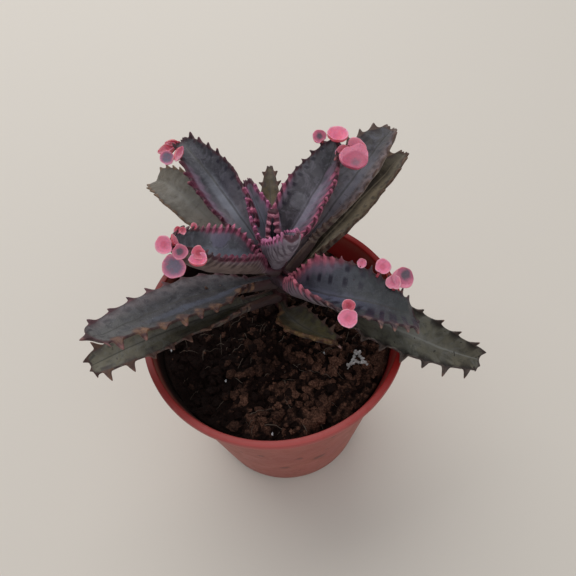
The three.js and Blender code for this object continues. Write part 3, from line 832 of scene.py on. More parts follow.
def upper_skin(name, look):
    """The upper skin: mottled ground, painted light and shade at the base, bloom, a pale strip by the midrib
    that is partly painted sheen, spots, blotches, dust and margin.
    """
    skin, place = new_finish(name)
    marks = signed, along, tooth, edge = leaf_marks(place)
    across = abs(signed)
    broad = grain(place, 150, 4.0, 0.6, 0.8)
    mottle = grain(place, 520, 5.0, 0.65, 0.5)
    cloud = grain(place, 260, 5.0, 0.7, 1.5)
    cloudy = cloud * 0.7 + 0.6
    jitter = mottle * 0.7 - 0.35
    sway = broad * 0.3 - 0.15
    body = tint(step(broad, 0.36, 0.64), *look["ground"])
    # Painted light and shade at the base: a paler base offsets the fold's shade, a dark one stands for
    # shadow.
    body = lay(body, look, "base", step(along, 0.62, 0.36) * cloudy)
    body = lay(body, look, "tip", step(along, look["tip_from"], look["tip_from"] + 0.4) * cloudy)
    hazy = step(across, 0.25, 0.9) * by_side(signed, look["haze_share"])
    body = tint(hazy * cloudy, body, look["haze"])
    body = lay(body, look, "dark", step(mottle, 0.46, 0.7))
    body = lay(body, look, "bloom", step(cloud, 0.47, 0.64))
    # The strip by the midrib is partly painted sheen; on the old back-right leaf it is a dark painted shadow.
    beside = abs(signed - look["strip_at"]) + jitter * 0.35
    strip = step(beside, look["strip_wide"], look["strip_wide"] * 0.3)
    strip = strip * step(along, look["strip_to"] + 0.2, look["strip_to"] - 0.2)
    body = lay(body, look, "strip", strip * (cloud * 0.8 + 0.4))
    body = tint(step(across + jitter * 0.06, 0.06, 0.015) * 0.6, body, look["crease"])
    kept = step(along, look["spots_to"] + 0.12, look["spots_to"] - 0.12)
    for at, size, share, every, phase, opened in look["spots"]:
        off = beat(tooth * every + phase) + sway
        row = abs(signed + sway - at)
        spots = step(off, opened, opened + 0.33) * step(row, size * 1.2, size * 0.3) * kept
        body = tint(spots * share, body, look["spot"])
    for at, size, share, first in look["patches"]:
        wave = beat(tooth) + jitter * 1.3
        row = abs(signed + sway - at)
        patches = step(wave, 0.25, 0.7) * step(row, size, size * 0.4) * step(along, first - 0.1, first + 0.1)
        body = tint(patches * share, body, look["spot"])
    for x, y, z, wide, line, filled in look["rings"]:
        away = away_from(place, x, y, z)
        rim = step(abs(away - wide * MM), line * MM, line * 0.3 * MM) * step(cloud, 0.42, 0.55)
        film = step(jitter * (2.5 * MM) + away, wide * MM, wide * 0.75 * MM) * filled
        body = tint(film * (cloud * 0.8 + 0.5), body, look["film"])
        body = tint(rim * 0.5, body, look["bloom"])
    reach = (beat(tooth) + jitter) * look["blotch_reach"] + 0.2
    blotch = step(edge + jitter * 1.6, reach, 0.0)
    body = lay(body, look, "blotch", blotch * step(along, look["blotch_from"] - 0.1, look["blotch_from"]))
    body = paint_margin(look, body, place, marks, jitter)
    body = lay(body, look, "dust", flecks(place, 900, 0.13) * step(cloud, 0.45, 0.6))
    relief = grain(place, 3200, 3.0) * 0.3 + mottle
    shine = mottle * 0.3 + (look["rough"] - 0.15)
    close_finish(body, shine, relief, 0.00022, specular_ior_level=look["gloss"])
    return skin


def under_skin(name, look):
    """The underside: paler, with dark stripes that run in from the gaps between the teeth."""
    skin, place = new_finish(name)
    marks = signed, along, tooth, edge = leaf_marks(place)
    mottle = grain(place, 480, 5.0, 0.65, 0.5)
    jitter = mottle * 0.7 - 0.35
    body = tint(step(mottle, 0.35, 0.65), *look["under"])
    stripe = step(beat(tooth - edge * look["stripe_slant"]) + jitter, 0.5, 0.15)
    far = step(edge + jitter * 3.0, look["stripe_reach"], look["stripe_reach"] * 0.5)
    body = lay(body, look, "stripe", stripe * far)
    body = paint_margin(look, body, place, marks, jitter)
    close_finish(body, mottle * 0.25 + 0.42, mottle, 0.00018, specular_ior_level=look["gloss"])
    return skin


# In these looks, base is painted light and shade at the blade's foot; strip is partly painted sheen.
OLD_LOOK = dict(
    ground=((0.07, 0.072, 0.056), (0.12, 0.12, 0.095)), dark=(0.035, 0.033, 0.03), bloom=(0.17, 0.17, 0.16),
    bloom_share=0.4, tip=(0.13, 0.1, 0.065), tip_share=0.35, tip_from=0.55, base=(0.14, 0.11, 0.1),
    base_share=0.0, crease=(0.035, 0.033, 0.03), strip=(0.2, 0.195, 0.19), strip_at=0.0, strip_wide=0.3,
    strip_to=0.8, strip_share=0.4, spot=(0.022, 0.018, 0.024),
    spots=((-0.62, 0.13, 0.5, 0.5, 0.5, 0.62), (0.6, 0.13, 0.5, 1.0, 0.5, 0.62)), spots_to=1.2, patches=(),
    dark_share=0.55, haze=(0.17, 0.14, 0.15), haze_share=(0.0, 0.0), dim=(0.0, 0.0), blotch_from=0.0,
    blotch=(0.04, 0.022, 0.026), blotch_reach=2.4, blotch_share=0.7, band=0.7, pink_band=(0.7, 0.7),
    pink=((0.4, 0.08, 0.12), (0.22, 0.035, 0.06)), margin=((0.085, 0.04, 0.034), (0.14, 0.075, 0.05)),
    margin_share=0.8, inner=(0.2, 0.13, 0.17), inner_share=0.0, fade=0.4, comb=(0.6, 0.6), knob_share=0.0,
    rose_dark=(0.1, 0.015, 0.035), slant=0.0, notch=(0.03, 0.014, 0.014), notch_reach=1.0, notch_share=0.5,
    point=(0.28, 0.14, 0.1), point_from=-1.0, point_share=0.45, dust=(0.3, 0.3, 0.3), dust_share=0.3,
    rough=0.5, gloss=0.25, rings=(), film=(0.16, 0.15, 0.21),
    under=((0.13, 0.1, 0.085), (0.17, 0.14, 0.115)), stripe=(0.05, 0.025, 0.03), stripe_reach=4.0,
    stripe_slant=0.1, stripe_share=0.7,
)
OLD_FORM = dict(
    teeth=13, spread=1.35, tooth=(1.0, 2.4), half_tooth=1.15, hook=(0.9, 0.9), uneven=(0.5, 1.3),
    curl=(0.25, 0.25), wave=0.2, tip_tooth=1.8, claws=TIP_CLAWS, scallop=-0.16, round=0.04, bead=0.0,
    margin=MARGIN_THICKNESS, sides=(1.0, 1.0), pink_to=(0.0, 0.0),
)
OLD_LEAVES = dict(
    leaf_old_front_right=dict(
        node=60.6, tip=(48.6, -14.4, 53.8), rise=(43, -21), swing=-18, wide=14.2, fold=(34, 39),
        roll=(3, -32), open=0.87, stalk=0.3, lobe=0.24, blunt=0.4, teeth=9, sides=(0.95, 0.95),
        hook=(0.5, -1.2), curl=(0.25, -1.0), uneven=(0.7, 1.2), half_tooth=0.9, scallop=-0.36,
        tip_tooth=2.4, claws=((-1.0, 0.55, 0.3, -25), (0.62, 0.35, 0.2, 50), (1.0, 0.9, 0.3, 120)),
        look=dict(
            ground=((0.1, 0.098, 0.078), (0.165, 0.157, 0.12)), spots=(), crease=(0.23, 0.23, 0.21),
            band=0.35, blotch=(0.018, 0.013, 0.012), blotch_share=0.95, blotch_reach=3.4, blotch_from=0.4,
            base=(0.1, 0.082, 0.056), base_share=0.5, margin=((0.035, 0.024, 0.02), (0.1, 0.07, 0.06)),
        ),
    ),
    leaf_old_back_left=dict(
        node=60.2, tip=(-29, 43.8, 65.3), rise=(29, -42), swing=8, wide=12.6, fold=(48, 27), roll=(1, 21),
        open=0.94, stalk=0.22, lobe=0.25, blunt=0.45, round=0.1, tooth=(0.3, 0.65), tip_tooth=0.45,
        teeth=15,
        look=dict(
            ground=((0.125, 0.112, 0.092), (0.17, 0.158, 0.135)), bloom=(0.22, 0.205, 0.185), spots=(),
            crease=(0.17, 0.16, 0.13), dark_share=0.3, blotch_share=0.3, base=(0.29, 0.245, 0.215),
            base_share=0.8, margin=((0.16, 0.09, 0.05), (0.2, 0.13, 0.08)),
        ),
    ),
    leaf_old_left=dict(
        node=56.6, tip=(-42.4, -11.9, 65.4), rise=(27, -15), swing=8.5, wide=12.2, fold=(52, 20),
        roll=(-7, 21), open=1.12, stalk=0.18, lobe=0.19, blunt=0.4, teeth=10, hook=(-0.9, 0.9),
        curl=(-0.6, 0.2), half_tooth=0.95, scallop=-0.25, tip_tooth=2.5,
        claws=((-1.0, 0.9, 0.3, -105), (-0.46, 0.35, 0.3, -20), (1.0, 0.6, 0.35, 8)),
        look=dict(
            ground=((0.072, 0.065, 0.045), (0.125, 0.11, 0.075)), tip=(0.17, 0.155, 0.115), tip_share=0.8,
        ),
    ),
    leaf_old_back_right=dict(
        node=57, tip=(38.5, 38.9, 71.6), rise=(27, 11), swing=-2, wide=12.4, fold=(52, 23), roll=(0, 16),
        open=0.71, stalk=0.19, lobe=0.29, blunt=0.4, round=0.12, tooth=(0.1, 2.1), tip_tooth=1.1,
        look=dict(
            # Its dark strip is painted shadow, cast by the middle back-right leaf that lies over it.
            ground=((0.13, 0.103, 0.066), (0.195, 0.155, 0.104)), strip=(0.01, 0.006, 0.003), gloss=0.1,
            rough=0.65, strip_at=-0.35, strip_wide=0.95, strip_share=1.2, strip_to=0.95,
            tip=(0.14, 0.13, 0.11), tip_share=0.8, tip_from=0.72, base=(0.2, 0.165, 0.12), base_share=0.6,
            bloom_share=0.1, crease=(0.1, 0.08, 0.055), margin=((0.12, 0.07, 0.05), (0.2, 0.14, 0.1)),
        ),
    ),
)
leaf_draw = random.Random(23)


def grow_leaves(leaves, form, look):
    """Grows each leaf from the form and the look of its group and from what is its own."""
    for name, own in leaves.items():
        leaf = {**form, **own}
        shade = {**look, **own.get("look", {}), "pink_to": leaf["pink_to"]}
        upper = upper_skin(name + "_upper_skin", shade)
        under = under_skin(name + "_under_skin", shade)
        make_leaf(name, leaf, upper, under, leaf_draw)


grow_leaves(OLD_LEAVES, OLD_FORM, OLD_LOOK)

# Small leaves: two short low leaves of the first pair, one over the soil at the front and one behind,
# dark olive with few small teeth.
SMALL_FORM = dict(
    OLD_FORM, teeth=6, spread=1.1, tooth=(0.6, 1.1), half_tooth=0.8, tip_tooth=0.8, round=0.1,
)
SMALL_LEAVES = dict(
    leaf_small_back=dict(
        node=55.6, tip=(2.6, 46.4, 63.9), rise=(27, 5), swing=3.5, wide=7.6, fold=(35, 16), roll=(0, 1),
        open=0.9, stalk=0.18, lobe=0.2, blunt=0.3, teeth=9, tooth=(0.6, 1.3), hook=(0.4, 0.4),
        tip_tooth=0.9,
        look=dict(ground=((0.05, 0.034, 0.014), (0.09, 0.063, 0.026)), strip_share=0.05, bloom_share=0.1),
    ),
    leaf_small_front=dict(
        node=54.6, tip=(14.8, -6.6, 56.2), rise=(0, -22), swing=-37, wide=9.5, fold=(22, 32),
        roll=(-12, 31), open=0.9, stalk=0.18, lobe=0.2, blunt=0.35, tip_tooth=2.8, round=0.03,
        claws=((-0.87, 0.7, 0.4, -20), (0.14, 0.25, 0.3, 0), (0.87, 1.25, 0.35, 75)), pink_to=(0, 1.2),
        curl=(0.2, -0.8), bead=0.3, uneven=(0.4, 1.6),
        look=dict(
            ground=((0.065, 0.056, 0.027), (0.12, 0.1, 0.045)), strip_share=0.15, tip=(0.13, 0.11, 0.04),
            # Its dark base is painted shade, where the leaf lies low over the soil.
            tip_share=0.8, base=(0.03, 0.022, 0.015), base_share=0.7,
            pink=((0.24, 0.15, 0.06), (0.14, 0.06, 0.035)), pink_band=(0.7, 1.9), point=(0.5, 0.3, 0.27),
            point_share=0.8, bloom_share=0.15,
        ),
    ),
)
grow_leaves(SMALL_LEAVES, SMALL_FORM, OLD_LOOK)

# Middle leaves: one crossed pair, slate grey with dark stripes that run in from the margin, and long
# hooked teeth with pale pink points.
MIDDLE_LOOK = dict(
    OLD_LOOK, ground=((0.05, 0.05, 0.06), (0.09, 0.09, 0.1)), dark=(0.03, 0.026, 0.036),
    bloom=(0.15, 0.15, 0.18), tip=(0.09, 0.085, 0.065), strip=(0.19, 0.19, 0.24), strip_share=0.6, band=0.8,
    margin=((0.075, 0.03, 0.038), (0.16, 0.07, 0.08)), point=(0.36, 0.17, 0.16),
)
MIDDLE_FORM = dict(OLD_FORM, tooth=(1.0, 2.2))
MIDDLE_LEAVES = dict(
    leaf_middle_left=dict(
        node=62.6, tip=(-36.2, -15.2, 83.5), rise=(25, 34), swing=-15.5, wide=15.2, fold=(38, 7),
        roll=(-27, -6), open=0.4, stalk=0.11, lobe=0.27, blunt=0.42, teeth=10, sides=(1.0, 0.55),
        tip_tooth=2.7, claws=((-1.0, 1.3, 0.3, -110), (0.3, 1.1, 0.4, 0)), scallop=-0.22, pink_to=(0.95, 0),
        curl=(-0.5, 0.3), bead=0.35, uneven=(0.3, 1.3),
        look=dict(
            ground=((0.018, 0.017, 0.021), (0.036, 0.034, 0.04)), dark=(0.011, 0.009, 0.014),
            bloom=(0.06, 0.06, 0.07), strip=(0.07, 0.08, 0.118), strip_at=-0.42, strip_wide=0.22,
            strip_share=0.75, strip_to=0.7, haze_share=(0.0, 0.75), tip=(0.125, 0.122, 0.12), tip_share=0.9,
            tip_from=0.56, pink=((0.22, 0.115, 0.065), (0.07, 0.03, 0.028)), pink_band=(2.8, 0.8),
            rose_dark=(0.04, 0.02, 0.025), knob_share=0.7, comb=(0.7, 0.6), bloom_share=0.6,
            rings=((-16.6, 5.7, 69.3, 3.4, 0.22, 0.0),),
        ),
    ),
    leaf_middle_back_right=dict(
        node=62.8, tip=(32.9, 33.6, 85.2), rise=(37, 14), swing=-6, wide=15.1, fold=(73, 33),
        roll=(-2.5, 7), open=0.68, stalk=0.23, lobe=0.34, blunt=0.42, round=0.12, tooth=(0.15, 2.3),
        tip_tooth=1.2,
        look=dict(
            ground=((0.08, 0.075, 0.084), (0.14, 0.13, 0.142)), base=(0.2, 0.15, 0.15), base_share=0.9,
            haze=(0.26, 0.19, 0.185), haze_share=(0.0, 0.8), strip_at=0.15, strip_wide=0.4,
            margin=((0.12, 0.075, 0.06), (0.21, 0.15, 0.125)), knob_share=0.2, notch_share=0.2,
            bloom_share=0.6,
        ),
    ),
)
grow_leaves(MIDDLE_LEAVES, MIDDLE_FORM, MIDDLE_LOOK)

# Young leaves: four upper leaves in two crossed pairs, slate purple with a lilac strip on the midrib that is
# partly painted sheen. Their thick pink margins stand up like a comb, with dark notches between the teeth.
YOUNG_LOOK = dict(
    OLD_LOOK, ground=((0.038, 0.036, 0.046), (0.072, 0.068, 0.082)), dark=(0.022, 0.018, 0.028),
    bloom=(0.13, 0.125, 0.15), bloom_share=0.5, tip=(0.05, 0.055, 0.05), strip=(0.2, 0.2, 0.28),
    strip_share=0.7, spot=(0.014, 0.011, 0.024),
    spots=((-0.72, 0.13, 0.7, 1.0, 0.5, 0.62), (0.72, 0.13, 0.7, 1.0, 0.5, 0.62)), dark_share=0.35,
    blotch=(0.04, 0.014, 0.03), blotch_reach=1.2, blotch_share=0.5, pink_band=(1.5, 1.5),
    pink=((0.58, 0.16, 0.26), (0.3, 0.06, 0.12)), margin=((0.05, 0.025, 0.03), (0.13, 0.05, 0.06)),
    margin_share=0.92, inner=(0.3, 0.2, 0.28), inner_share=0.55, comb=(0.35, 0.35), knob_share=0.85,
    rough=0.42, gloss=0.35, slant=-0.4, notch=(0.035, 0.007, 0.014), notch_reach=1.9, notch_share=0.85,
    point=(0.5, 0.17, 0.18), point_from=-0.8, point_share=0.5,
    under=((0.1, 0.065, 0.06), (0.16, 0.11, 0.105)), stripe=(0.028, 0.014, 0.018), stripe_reach=3.4,
)
YOUNG_FORM = dict(
    OLD_FORM, teeth=18, spread=1.3, tooth=(0.5, 1.5), half_tooth=0.75, hook=(0.5, 0.5), wave=0.35,
    tip_tooth=1.2, bead=0.35, margin=0.55, pink_to=(0.8, 0.8),
)
YOUNG_LEAVES = dict(
    leaf_young_front_right=dict(
        node=65, tip=(32.3, -8.6, 67.2), rise=(8, -54), swing=-27, wide=17.8, fold=(77, 10), roll=(4, 16),
        open=0.89, stalk=0.1, lobe=0.22, blunt=0.4, pink_to=(0.42, 0.42), spread=1.55, tooth=(0.5, 1.8),
        sides=(0.8, 1.05), bead=0.2,
        claws=((-1.0, 1.5, 0.5, -50), (-0.3, 0.5, 0.3, 0), (0.3, 0.9, 0.4, 5), (1.0, -0.8, 0.5, 0)),
        round=0.05, curl=(0.25, -0.7),
        look=dict(
            ground=((0.023, 0.025, 0.029), (0.037, 0.04, 0.046)), dark=(0.014, 0.016, 0.02),
            bloom=(0.07, 0.075, 0.09), bloom_share=0.4, base=(0.125, 0.13, 0.165), base_share=0.75,
            # Its pale strip lies on the lit side of the midrib, as painted sheen.
            strip=(0.13, 0.135, 0.205), strip_at=0.22, strip_wide=0.45, strip_share=0.85, strip_to=0.62,
            pink=((0.74, 0.2, 0.27), (0.5, 0.11, 0.17)), pink_band=(2.9, 3.3), fade=0.1, comb=(0.15, 0.75),
            knob_share=0.3, notch_reach=1.0, slant=0.0, blotch_reach=2.6, blotch_share=0.8,
            under=((0.185, 0.15, 0.162), (0.27, 0.225, 0.25)), stripe_share=0.95, stripe_reach=5.0,
            margin=((0.05, 0.03, 0.036), (0.16, 0.09, 0.08)), point=(0.42, 0.22, 0.16), spots_to=0.62,
            spots=((-0.42, 0.15, 0.9, 0.6, 0.2, 0.62), (-0.8, 0.13, 0.9, 0.6, 0.2, 0.62)), notch_share=0.75,
            patches=((0.66, 0.5, 1.0, 0.4),),
        ),
    ),
    leaf_young_back_left=dict(
        node=65.2, tip=(-18.4, 38.2, 83.8), rise=(53, -5), swing=5, wide=14.9, fold=(90, 38), roll=(30, 5),
        open=0.78, stalk=0.13, lobe=0.25, blunt=0.26, pink_to=(0.78, 0.5), round=0.08, teeth=16,
        spread=1.45,
        look=dict(
            base=(0.33, 0.305, 0.335), base_share=0.85, strip_wide=0.32, strip_at=-0.1, strip_to=0.62,
            strip=(0.31, 0.33, 0.385), strip_share=0.9, pink_band=(2.2, 1.9), dim=(0.95, 0.0),
            ground=((0.05, 0.048, 0.06), (0.088, 0.084, 0.1)), slant=-0.15, comb=(0.2, 0.3),
            bloom_share=0.65, rings=((-7.2, 23.7, 82.4, 2.7, 0.28, 0.12),),
        ),
    ),
    leaf_young_left=dict(
        node=67.6, tip=(-17.4, -2.1, 94.2), rise=(53, 80), swing=-1, wide=16.5, fold=(67, 48), roll=(4, -1),
        open=0.88, stalk=0.13, lobe=0.31, blunt=0.49, pink_to=(0.75, 0.7), teeth=17, tooth=(0.4, 0.8),
        hook=(0.2, 0.2), sides=(0.9, 1.3), bead=0.6, tip_tooth=0.3,
        look=dict(
            ground=((0.085, 0.088, 0.1), (0.15, 0.155, 0.175)), strip_at=0.3, pink_band=(1.2, 1.7),
            strip_wide=0.22, strip_share=0.95, strip=(0.26, 0.28, 0.34), notch_reach=0.7, blotch_reach=0.4,
            slant=0.0, comb=(0.1, 0.1), inner_share=0.2, film=(0.26, 0.25, 0.34), spots=(),
            bloom=(0.34, 0.33, 0.4), bloom_share=0.3, under=((0.135, 0.096, 0.088), (0.205, 0.15, 0.138)),
            stripe_slant=0.0, dim=(0.85, 0.0), rings=((-9.3, 7.0, 84.1, 3.0, 0.25, 0.85),),
        ),
    ),
    leaf_young_back_right=dict(
        node=67.8, tip=(17.8, 23.3, 93.0), rise=(68, 86), swing=6, wide=15.6, fold=(66, 23), roll=(-29, 17),
        open=1.03, stalk=0.13, lobe=0.27, blunt=0.27, pink_to=(0.6, 0.85), tip_tooth=0.3, sides=(0.55, 1.3),
        hook=(0.4, 0.1), teeth=12, round=0.1, bead=0.5, half_tooth=0.9,
        look=dict(
            ground=((0.058, 0.055, 0.066), (0.11, 0.104, 0.12)), bloom=(0.2, 0.19, 0.225),
            base=(0.05, 0.05, 0.05), base_share=0.5, film=(0.24, 0.24, 0.27),
            rings=((8.6, 17.6, 80.9, 2.3, 0.1, 0.38),), strip_at=0.16, strip_to=0.65, strip_share=0.95,
            strip=(0.37, 0.34, 0.43), pink_band=(1.5, 4.2),
        ),
    ),
)
grow_leaves(YOUNG_LEAVES, YOUNG_FORM, YOUNG_LOOK)

# Unfolding leaves: three small leaves at the growing point, still folded along their midribs, pale grey
# with a dense fringe of pink teeth. The innermost is a dark bud.
BUD_LOOK = dict(
    YOUNG_LOOK, ground=((0.1, 0.112, 0.135), (0.17, 0.17, 0.21)), pink_band=(1.3, 1.3),
    pink=((0.72, 0.22, 0.42), (0.45, 0.12, 0.25)), strip_share=0.4, notch_share=0.4, notch_reach=0.6,
    under=((0.2, 0.17, 0.2), (0.32, 0.27, 0.32)), stripe=(0.05, 0.03, 0.05), stripe_reach=6.0,
    stripe_slant=-0.8,
)
BUD_FORM = dict(
    YOUNG_FORM, teeth=9, tooth=(0.5, 0.8), half_tooth=0.45, bead=0.25, margin=0.45, pink_to=(0.95, 0.95),
)
BUD_LEAVES = dict(
    leaf_bud_back=dict(
        node=71, tip=(-2.5, 22, 84.5), rise=(71, 43), swing=1, wide=8, fold=(58, 43), roll=(-6, 7),
        open=0.85, stalk=0.12, lobe=0.25, blunt=0.2,
    ),
    leaf_bud_front=dict(
        node=70, tip=(6.2, 1.3, 89), rise=(60, 75), swing=0, wide=11.4, fold=(75, 42), roll=(0, 16),
        open=0.85, stalk=0.05, lobe=0.22, blunt=0.2, teeth=14, tooth=(0.4, 0.65),
        look=dict(
            pink_band=(0.5, 1.1), ground=((0.15, 0.165, 0.2), (0.24, 0.26, 0.31)), tip_share=0.0,
            under=((0.18, 0.15, 0.175), (0.3, 0.26, 0.3)), stripe_share=0.6, stripe_slant=-1.0,
        ),
    ),
    leaf_bud_centre=dict(
        node=71.5, tip=(2.6, 11.5, 86), rise=(85, 80), swing=0, wide=3.6, fold=(80, 60), roll=(0, 0),
        open=0.85, stalk=0.12, lobe=0.25, blunt=0.06, round=0.3, tip_tooth=0.3, tooth=(0.25, 0.3),
        half_tooth=0.32, bead=0.12, teeth=8,
        look=dict(
            pink=((0.62, 0.22, 0.3), (0.36, 0.11, 0.17)), pink_band=(0.6, 0.6),
            ground=((0.03, 0.03, 0.03), (0.05, 0.05, 0.05)),
        ),
    ),
)
grow_leaves(BUD_LEAVES, BUD_FORM, BUD_LOOK)

# Plantlets: young plants that grow on the teeth of the leaf margins and drop off to root. Each is one to
# three round waxy leaflets, cupped, pink with a paler rim, on a short stalk; some have a grey heart.
LEAFLET_SIDES = 24
STALK_RADIUS = 0.34
LEAFLET_RINGS = ((0.94, 0.03), (0.82, -0.04), (0.62, -0.1), (0.38, -0.15), (0.16, -0.17))
LEAFLET_FORMS = {
    "disc": dict(wide=1.0, cup=0.8, notch=0.26, point=0.0, turn=0, heart=(0.0, 0.0)),
    "spotted": dict(wide=1.0, cup=0.7, notch=0.15, point=0.0, turn=0, heart=(0.05, 0.4)),
    "bowl": dict(wide=1.1, cup=3.0, notch=0.12, point=0.0, turn=0, heart=(0.0, 0.0)),
    "heart": dict(wide=0.95, cup=1.2, notch=0.3, point=0.5, turn=180, heart=(0.0, 0.0)),
    "petal": dict(wide=0.44, cup=1.8, notch=0.0, point=0.8, turn=0, heart=(0.0, -0.6)),
    "lump": dict(wide=0.9, cup=2.2, notch=0.1, point=0.1, turn=0, heart=(0.0, -0.3)),
}
PLANTLETS = (
    ("front_right_stalked", (20.9, 2, 73.8), (21.5, 2.7, 74.7, 2.4, -90, 50, "pink", "heart")),
    ("front_right_middle", (24.5, -0.2, 72.6), (26.2, 1.7, 73.9, 3.8, -80, 60, "pink", "disc")),
    (
        "front_right_far", (27.9, -3.1, 71),
        (30.4, -1.1, 72.7, 5, -85, 60, "slate", "spotted"),
        (28.1, -1.9, 72.4, 3.6, -110, 60, "pale", "disc"),
    ),
    (
        "front_right_near", (16.4, -11, 76),
        (16.6, -10.1, 77.8, 3, -95, 40, "coral", "disc"),
        (16.1, -13.0, 77.7, 4.3, -90, 55, "pink", "disc"),
    ),
    (
        "left_outer", (-17.4, -2.1, 94.2),
        (-19.1, -2.3, 94.7, 3.8, -100, 50, "pink", "disc"),
        (-16.7, -2.2, 95.8, 2.6, -30, 20, "pale", "petal"),
    ),
    ("left_middle", (-17, -1.9, 93), (-15.9, -4.4, 94.8, 3.2, -80, 50, "slate", "disc")),
    ("left_large", (-16.6, -2.4, 91.6), (-17.9, -5, 91, 5, -95, 50, "lilac", "disc")),
    (
        "left_inner", (-12.1, -2.8, 92.7),
        (-12.5, -4.1, 93.5, 2.9, -85, 45, "coral", "disc"),
        (-12.6, -5.5, 93.4, 3.5, -90, 98, "pink", "bowl"),
    ),
    (
        "left_back", (-15.9, 2.3, 93.6),
        (-16.6, 1.7, 94, 1.7, -90, 60, "coral", "lump"),
        (-15.6, 1.5, 93.9, 1.7, -70, 60, "coral", "lump"),
    ),
    ("left_far", (-13.9, 4.8, 90.1), (-13.9, 4.9, 90.9, 1.6, -90, 60, "coral", "lump")),
    ("back_left_low", (-19.2, 36.4, 84), (-21.7, 33, 83.8, 3.6, -95, 55, "lilac", "disc")),
    ("back_left_upright", (-18.4, 32.5, 85.6), (-18.1, 30.6, 87, 3.9, -60, 50, "pale", "petal")),
    (
        "back_left_tip", (-18.6, 37.6, 84),
        (-21.8, 36.4, 83.7, 4.9, -100, 50, "coral", "petal"),
        (-20.5, 37.2, 84.5, 3.2, -80, 50, "coral", "petal"),
    ),
    ("back_right_left", (15.3, 24.9, 91.3), (14.6, 25.9, 92.4, 3.2, -90, 60, "slate", "disc")),
    ("back_right_top", (17.8, 23.4, 92.9), (18.5, 24.1, 94.4, 4.6, -90, 92, "pink", "bowl")),
    (
        "back_right_large", (20.6, 22.7, 91.7),
        (21.3, 17.9, 93.2, 6.5, -88, 80, "rose", "spotted"),
        (22.1, 21.6, 91.6, 5.2, -80, 60, "pale", "disc"),
        (19.4, 20.6, 91.8, 3.9, -110, 45, "coral", "disc"),
    ),
)
plantlet_draw = random.Random(31)


def petal_skin(name, heart, body, rim, reach=0.6):
    """Waxy skin that goes from its heart to a paler rim, by the distance from the leaflet's heart."""
    skin, place = new_finish(name)
    mottle = grain(place, 800, 5.0, 0.65, 0.6)
    ring = marked(place, "disc") + mottle * 0.7 - 0.35
    colour = tint(step(ring, reach - 0.38, reach), heart, body)
    colour = tint(step(ring, 0.75, 1.0), colour, rim)
    colour = tint(step(mottle, 0.5, 0.66) * 0.4, colour, tuple(0.55 * value for value in body))
    colour = tint(step(grain(place, 3500, 3.0), 0.55, 0.75) * 0.2, colour, rim)
    close_finish(
        colour, mottle * 0.2 + 0.32, mottle, 0.00016,
        specular_ior_level=0.45, subsurface_weight=0.25, subsurface_scale=0.001,
    )
    return skin


petal_skins = {
    "pink": petal_skin("plantlet_pink", (0.72, 0.15, 0.25), (0.86, 0.235, 0.37), (0.92, 0.42, 0.53)),
    "rose": petal_skin("plantlet_rose", (0.24, 0.09, 0.14), (0.47, 0.09, 0.16), (0.7, 0.22, 0.32), 0.5),
    "pale": petal_skin("plantlet_pale", (0.7, 0.17, 0.27), (0.78, 0.24, 0.35), (0.86, 0.38, 0.47)),
    "coral": petal_skin("plantlet_coral", (0.5, 0.07, 0.11), (0.74, 0.17, 0.24), (0.84, 0.32, 0.4)),
    "slate": petal_skin("plantlet_slate", (0.11, 0.08, 0.11), (0.54, 0.14, 0.23), (0.8, 0.28, 0.38), 0.65),
    "lilac": petal_skin("plantlet_lilac", (0.2, 0.17, 0.24), (0.55, 0.18, 0.3), (0.86, 0.33, 0.45), 0.85),
    "back": petal_skin("plantlet_back", (0.4, 0.04, 0.06), (0.55, 0.06, 0.09), (0.7, 0.15, 0.2)),
}
leaflet_shape = turned(((1.0, 0.0), *LEAFLET_RINGS), LEAFLET_SIDES, unit=1.0, closed=False)
if leaflet_shape.data.polygons[0].normal.z < 0:
    leaflet_shape.data.flip_normals()


def bent_leaflet(form):
    """A copy of the leaflet, notched, pointed, cupped and rippled, and each point's way from its heart."""
    mesh = leaflet_shape.data.copy()
    phase = plantlet_draw.random() * math.tau
    ways = []
    for vertex in mesh.vertices:
        x, y, z = vertex.co
        distance = min(1.0, math.hypot(x, y))
        turn = math.atan2(x, -y)
        notch = form["notch"] * math.exp(-((turn / 0.26) ** 2)) * distance ** 2.5
        ripple = 1 + distance ** 2 * (0.05 * math.cos(3 * turn + phase) + 0.03 * math.cos(7 * turn - phase))
        narrow = form["wide"] * (1 - 0.5 * form["point"] * max(0, y) ** 2)
        longer = 1 + 0.25 * form["point"] * max(0, y) ** 3
        lift = 0.07 * math.cos(2 * turn + phase) + 0.05 * math.cos(5 * turn + 2 * phase)
        vertex.co = (
            x * (1 - notch) * ripple * narrow,
            y * (1 - notch) * ripple * longer,
            z * form["cup"] + lift * distance ** 3 + 0.1 * abs(x) * distance,
        )
        ways.append(min(1.0, math.hypot(x - form["heart"][0], y - form["heart"][1])))
    return mesh, ways


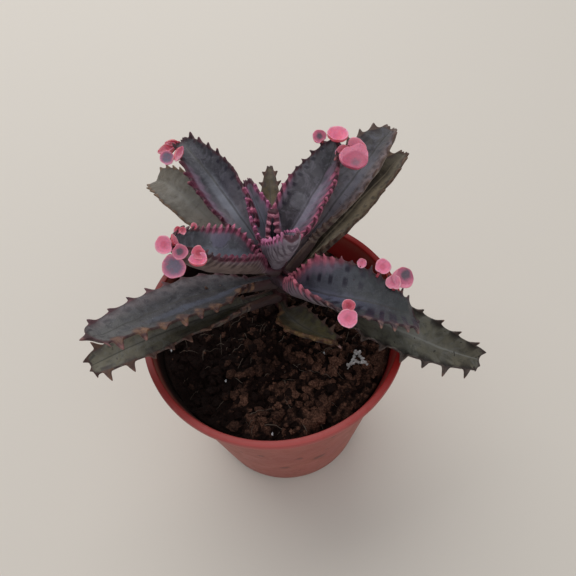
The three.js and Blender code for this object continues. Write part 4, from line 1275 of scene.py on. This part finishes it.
def make_leaflet(foot, x, y, z, across, azimuth, elevation, finish, form):
    """One bent copy of the leaflet, turned to face its way, and the stalk that holds it on the leaf."""
    form = LEAFLET_FORMS[form]
    at, foot, face = Vector((x, y, z)), Vector(foot), Vector(heading(azimuth, elevation))
    away = (at - foot) - face * (at - foot).dot(face)
    away.normalize()
    mesh, ways = bent_leaflet(form)
    mesh.materials.append(petal_skins[finish])
    mesh.materials.append(petal_skins["back"])
    leaflet = placed("leaflet", mesh)
    use_modifier(leaflet, "SOLIDIFY", thickness=0.24, offset=-1, use_rim=True, material_offset=1)
    mark(mesh, "disc", ways * 2)
    use_modifier(leaflet, "SUBSURF", levels=1, render_levels=1)
    radius = across / 2
    turned_to = Matrix((away.cross(face), away, face)).transposed().to_4x4()
    turned_to = turned_to @ Matrix.Rotation(math.radians(form["turn"]), 4, "Z")
    mesh.transform(Matrix.Translation(at * MM) @ turned_to @ Matrix.Scale(radius * MM, 4))
    end = at - away * radius * 0.6 - face * radius * (0.1 + 0.12 * form["cup"])
    run = end - foot
    bpy.ops.object.select_all(action="DESELECT")
    bpy.ops.mesh.primitive_cylinder_add(
        vertices=10,
        radius=STALK_RADIUS * MM,
        depth=run.length * MM,
        location=(foot + end) / 2 * MM,
        rotation=run.to_track_quat("Z", "Y").to_euler(),
    )
    stalk = bpy.context.object
    bpy.ops.object.transform_apply(location=True, rotation=True, scale=True)
    bpy.ops.object.mode_set(mode="EDIT")
    bpy.ops.mesh.select_all(action="SELECT")
    bpy.ops.mesh.bevel(offset=0.16 * MM, segments=2, affect="EDGES")
    bpy.ops.object.mode_set(mode="OBJECT")
    mark(stalk.data, "disc", 0.55)
    stalk.data.materials.append(petal_skins["back"])
    return leaflet, stalk


for name, foot, *leaflets in PLANTLETS:
    grown = []
    for leaflet in leaflets:
        grown += make_leaflet(foot, *leaflet)
    pick(*grown)
    bpy.ops.object.join()
    bpy.ops.object.shade_smooth()
    settle(bpy.context.object, "plantlet_" + name + "_leaflets", "plantlet_" + name)
bpy.data.objects.remove(leaflet_shape)
